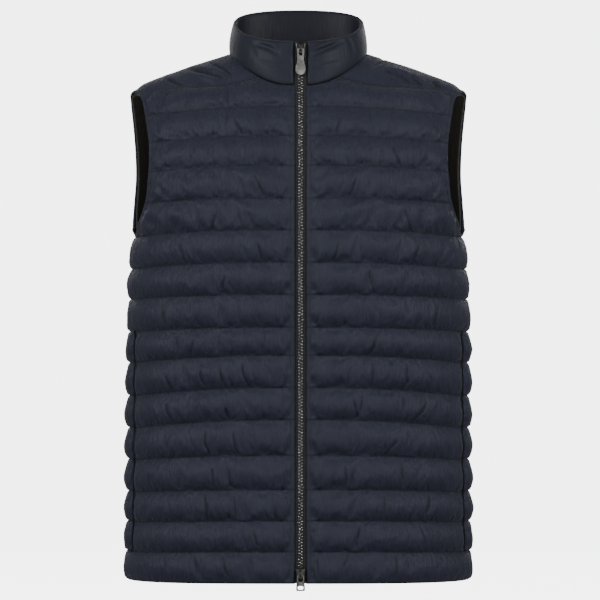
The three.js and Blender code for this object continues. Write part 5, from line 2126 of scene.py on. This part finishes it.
@dataclass(frozen=True)
class Studio:
    """The camera, the soft lights and the pale floor, which is painted to glow."""

    camera_place: tuple[float, float, float] = (2.0, -3600.0, -313.5)
    lens: float = 167.4
    floor_z: float = -950.0
    key: float = 30.0
    light_target: tuple[float, float, float] = (0, 0, -0.4)
    backdrop_half: float = 6000.0

    def build(self) -> None:
        """Places everything that isn't part of the object."""
        self._camera()
        self._floor()
        for name, place, size, share in (
            ("left_light", (-2.3, -1.9, 0.75), 0.9, 1.22),
            ("right_light", (2.3, -1.9, 0.75), 0.9, 1.14),
            ("low_light", (0.2, -3.0, -0.75), 1.2, 0.3),
            ("rear_left_light", (-1.3, 2.7, 0.9), 1.4, 0.6),
            ("rear_right_light", (1.3, 2.7, 0.9), 1.4, 0.6),
        ):
            self._light(name, place, size, self.key * share)
        world = bpy.data.worlds.new("studio")
        world.use_nodes = True
        background = world.node_tree.nodes["Background"]
        background.inputs["Color"].default_value = (1, 1, 1, 1)
        background.inputs["Strength"].default_value = 0.16
        bpy.context.scene.world = world

    def _camera(self) -> None:
        """A level camera straight in front of the vest."""
        data = bpy.data.cameras.new("camera")
        data.lens = self.lens
        data.sensor_width = 36
        camera = placed("camera", data)
        camera.location = [c * MM for c in self.camera_place]
        camera.rotation_euler = (math.pi / 2, 0, 0)
        bpy.context.scene.camera = camera

    def _floor(self) -> None:
        """A floor that sweeps up behind the vest."""
        near, far, bend, high = -self.backdrop_half, 5200.0, 900.0, 5000.0
        profile = [(near, self.floor_z), (far, self.floor_z)]
        for k in range(1, 13):
            turn = math.pi / 2 * k / 12
            profile.append((far + bend * math.sin(turn), self.floor_z + bend * (1 - math.cos(turn))))
        profile.append((far + bend, high))
        points = [(x, y, z) for y, z in profile for x in (-self.backdrop_half, self.backdrop_half)]
        faces = [(2 * k, 2 * k + 1, 2 * k + 3, 2 * k + 2) for k in range(len(profile) - 1)]
        floor = dress(mesh_object("studio_floor", np.array(points), faces), PaleFloor())
        # the floor's painted glow is seen by the camera only and lights nothing
        floor.visible_diffuse = floor.visible_glossy = False

    def _light(self, name: str, place: tuple, size: float, power: float) -> None:
        """A square soft light that faces the middle of the vest.

        Args:
            name: Name of the light.
            place: Where it stands, in metres.
            size: Length of its sides, in metres.
            power: Power in watts.
        """
        data = bpy.data.lights.new(name, "AREA")
        data.size = size
        data.energy = power
        light = placed(name, data)
        light.location = place
        away = np.array(place) - np.array(self.light_target)
        yaw = math.atan2(away[0], -away[1])
        pitch = math.atan2(math.hypot(away[0], away[1]), away[2])
        light.rotation_euler = (pitch, 0, yaw)
        light.visible_camera = False


# ---- The vest ----


@dataclass
class Vest:
    """All pieces of the vest, in the order in which they are made."""

    form: VestForm = field(default_factory=VestForm)
    thread_out: float = 0.15

    def settle(self, obj: Piece, slot: str, *nodes: str, body: str = BODY_NAME) -> Piece:
        """Ties a piece to its body and hides the solids that it stands for.

        Args:
            obj: The piece.
            slot: Not used.
            nodes: The solids that it replaces.
            body: The body that it moves with.

        Returns:
            The piece.
        """
        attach(obj, body)
        if nodes:
            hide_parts(*nodes)
        LOG.info("%s: %d faces", obj.name, len(obj.data.polygons))
        return obj

    def build(self) -> None:
        """Makes and dresses every piece."""
        fronts = {}
        for hand in Hand:
            creases = LEFT_FRONT_CREASES if hand is Hand.LEFT else RIGHT_FRONT_CREASES
            name, seed = f"front_{hand.label}_quilted", 11 + hand.value
            front = Front(name, self.form, hand=hand, seed=seed, creases=creases)
            obj = dress(front.build(), NYLON)
            self.settle(obj, "navy_nylon", f"front_{hand.label}")
            fronts[hand] = front
        back = Back("back_quilted", self.form, seed=31, creases=YOKE_CREASES)
        obj = dress(back.build(), NYLON)
        self.settle(obj, "navy_nylon", "back")
        collar = Collar(self.form).build()
        self.settle(collar, "navy_nylon", "collar")
        for hand in Hand:
            binding = Binding(self.form, hand)
            obj = binding.build(fronts[hand], back)
            self.settle(obj, "black_elastic", f"armhole_binding_{hand.label}")
            binding.reach * MM
        self.build_zip()
        for hand in Hand:
            welt = PocketWelt(fronts[hand])
            obj = self.settle(welt.build(), "navy_nylon", f"pocket_welt_{hand.label}")
            shown = welt.wide + welt.thick
            shown * MM
            self.sew_front(fronts[hand])
        self.sew_back(back)

    def sew_front(self, front: Front) -> None:
        """Stitches the quilting, the zip edge and the armhole edge of one front."""
        out = self.thread_out
        inside = front.length[0] > front.zip_stitches
        step = front.rows_per_channel
        rows = range(step, len(front.level) - 1, step)
        runs = [front.outer[r, inside] + out * front.normals[r, inside] for r in rows]
        runs.append(front.line(front.zip_stitches, True, 0.1, FRONT_TOP_LINE + 0.95, out))
        runs.append(front.line(front.arm_stitches, False, ARMPIT_LINE + 0.1, FRONT_TOP_LINE + 0.95, out))
        obj = Stitches().build(f"front_{front.hand.label}_stitches", runs)
        self.settle(obj, "navy_nylon")

    def sew_back(self, back: Back) -> None:
        """Stitches the quilting and both armhole edges of the back."""
        out = self.thread_out
        step = back.rows_per_channel
        behind_ridge = (BACK_TOP_LINE + 1) * step
        runs = [back.outer[r] + out * back.normals[r] for r in range(step, behind_ridge, step)]
        for side in (-1, 1):
            beside = back.column * side >= NECK_COLUMNS
            runs.append(back.outer[behind_ridge, beside] + out * back.normals[behind_ridge, beside])
            runs.append(back.armhole_line(side, out))
        obj = Stitches().build("back_stitches", runs)
        self.settle(obj, "navy_nylon")

    def build_zip(self) -> None:
        """Makes tapes, teeth, sliders and pulls."""
        tapes = ZipTapes(self.form)
        width, length = tapes.flat()
        for hand in Hand:
            obj = tapes.build(hand)
            self.settle(obj, "zip_tape", f"zip_tape_{hand.label}")
            width * MM
            length * MM
        self.settle(ZipTeeth(self.form).build(), "zip_metal", "zip_chain")
        for node, height in (("top_slider", TOP_SLIDER_Z), ("bottom_slider", BOTTOM_SLIDER_Z)):
            self.settle(Slider(f"{node}_cast", self.form, height).build(), "pull_metal", node)
        top = Pull("top_pull_cast", self.form, TOP_SLIDER_Z, TOP_PULL, ((2.15, 0.7, 8.3),))
        self.settle(top.build(), "pull_metal", "top_pull", body="top_pull")
        holes = ((2.75, 0.7, 7.7), (3.3, 13.2, 17.4))
        bottom = Pull("bottom_pull_cast", self.form, BOTTOM_SLIDER_Z, BOTTOM_PULL, holes, finish=LOW_PULL_METAL)
        self.settle(bottom.build(), "pull_metal", "bottom_pull", body="bottom_pull")


def main() -> None:
    """Builds the vest and the studio."""
    logging.basicConfig(level=logging.INFO, format="%(name)s %(message)s")
    Studio().build()
    Vest().build()


if __name__ == "__main__":
    main()
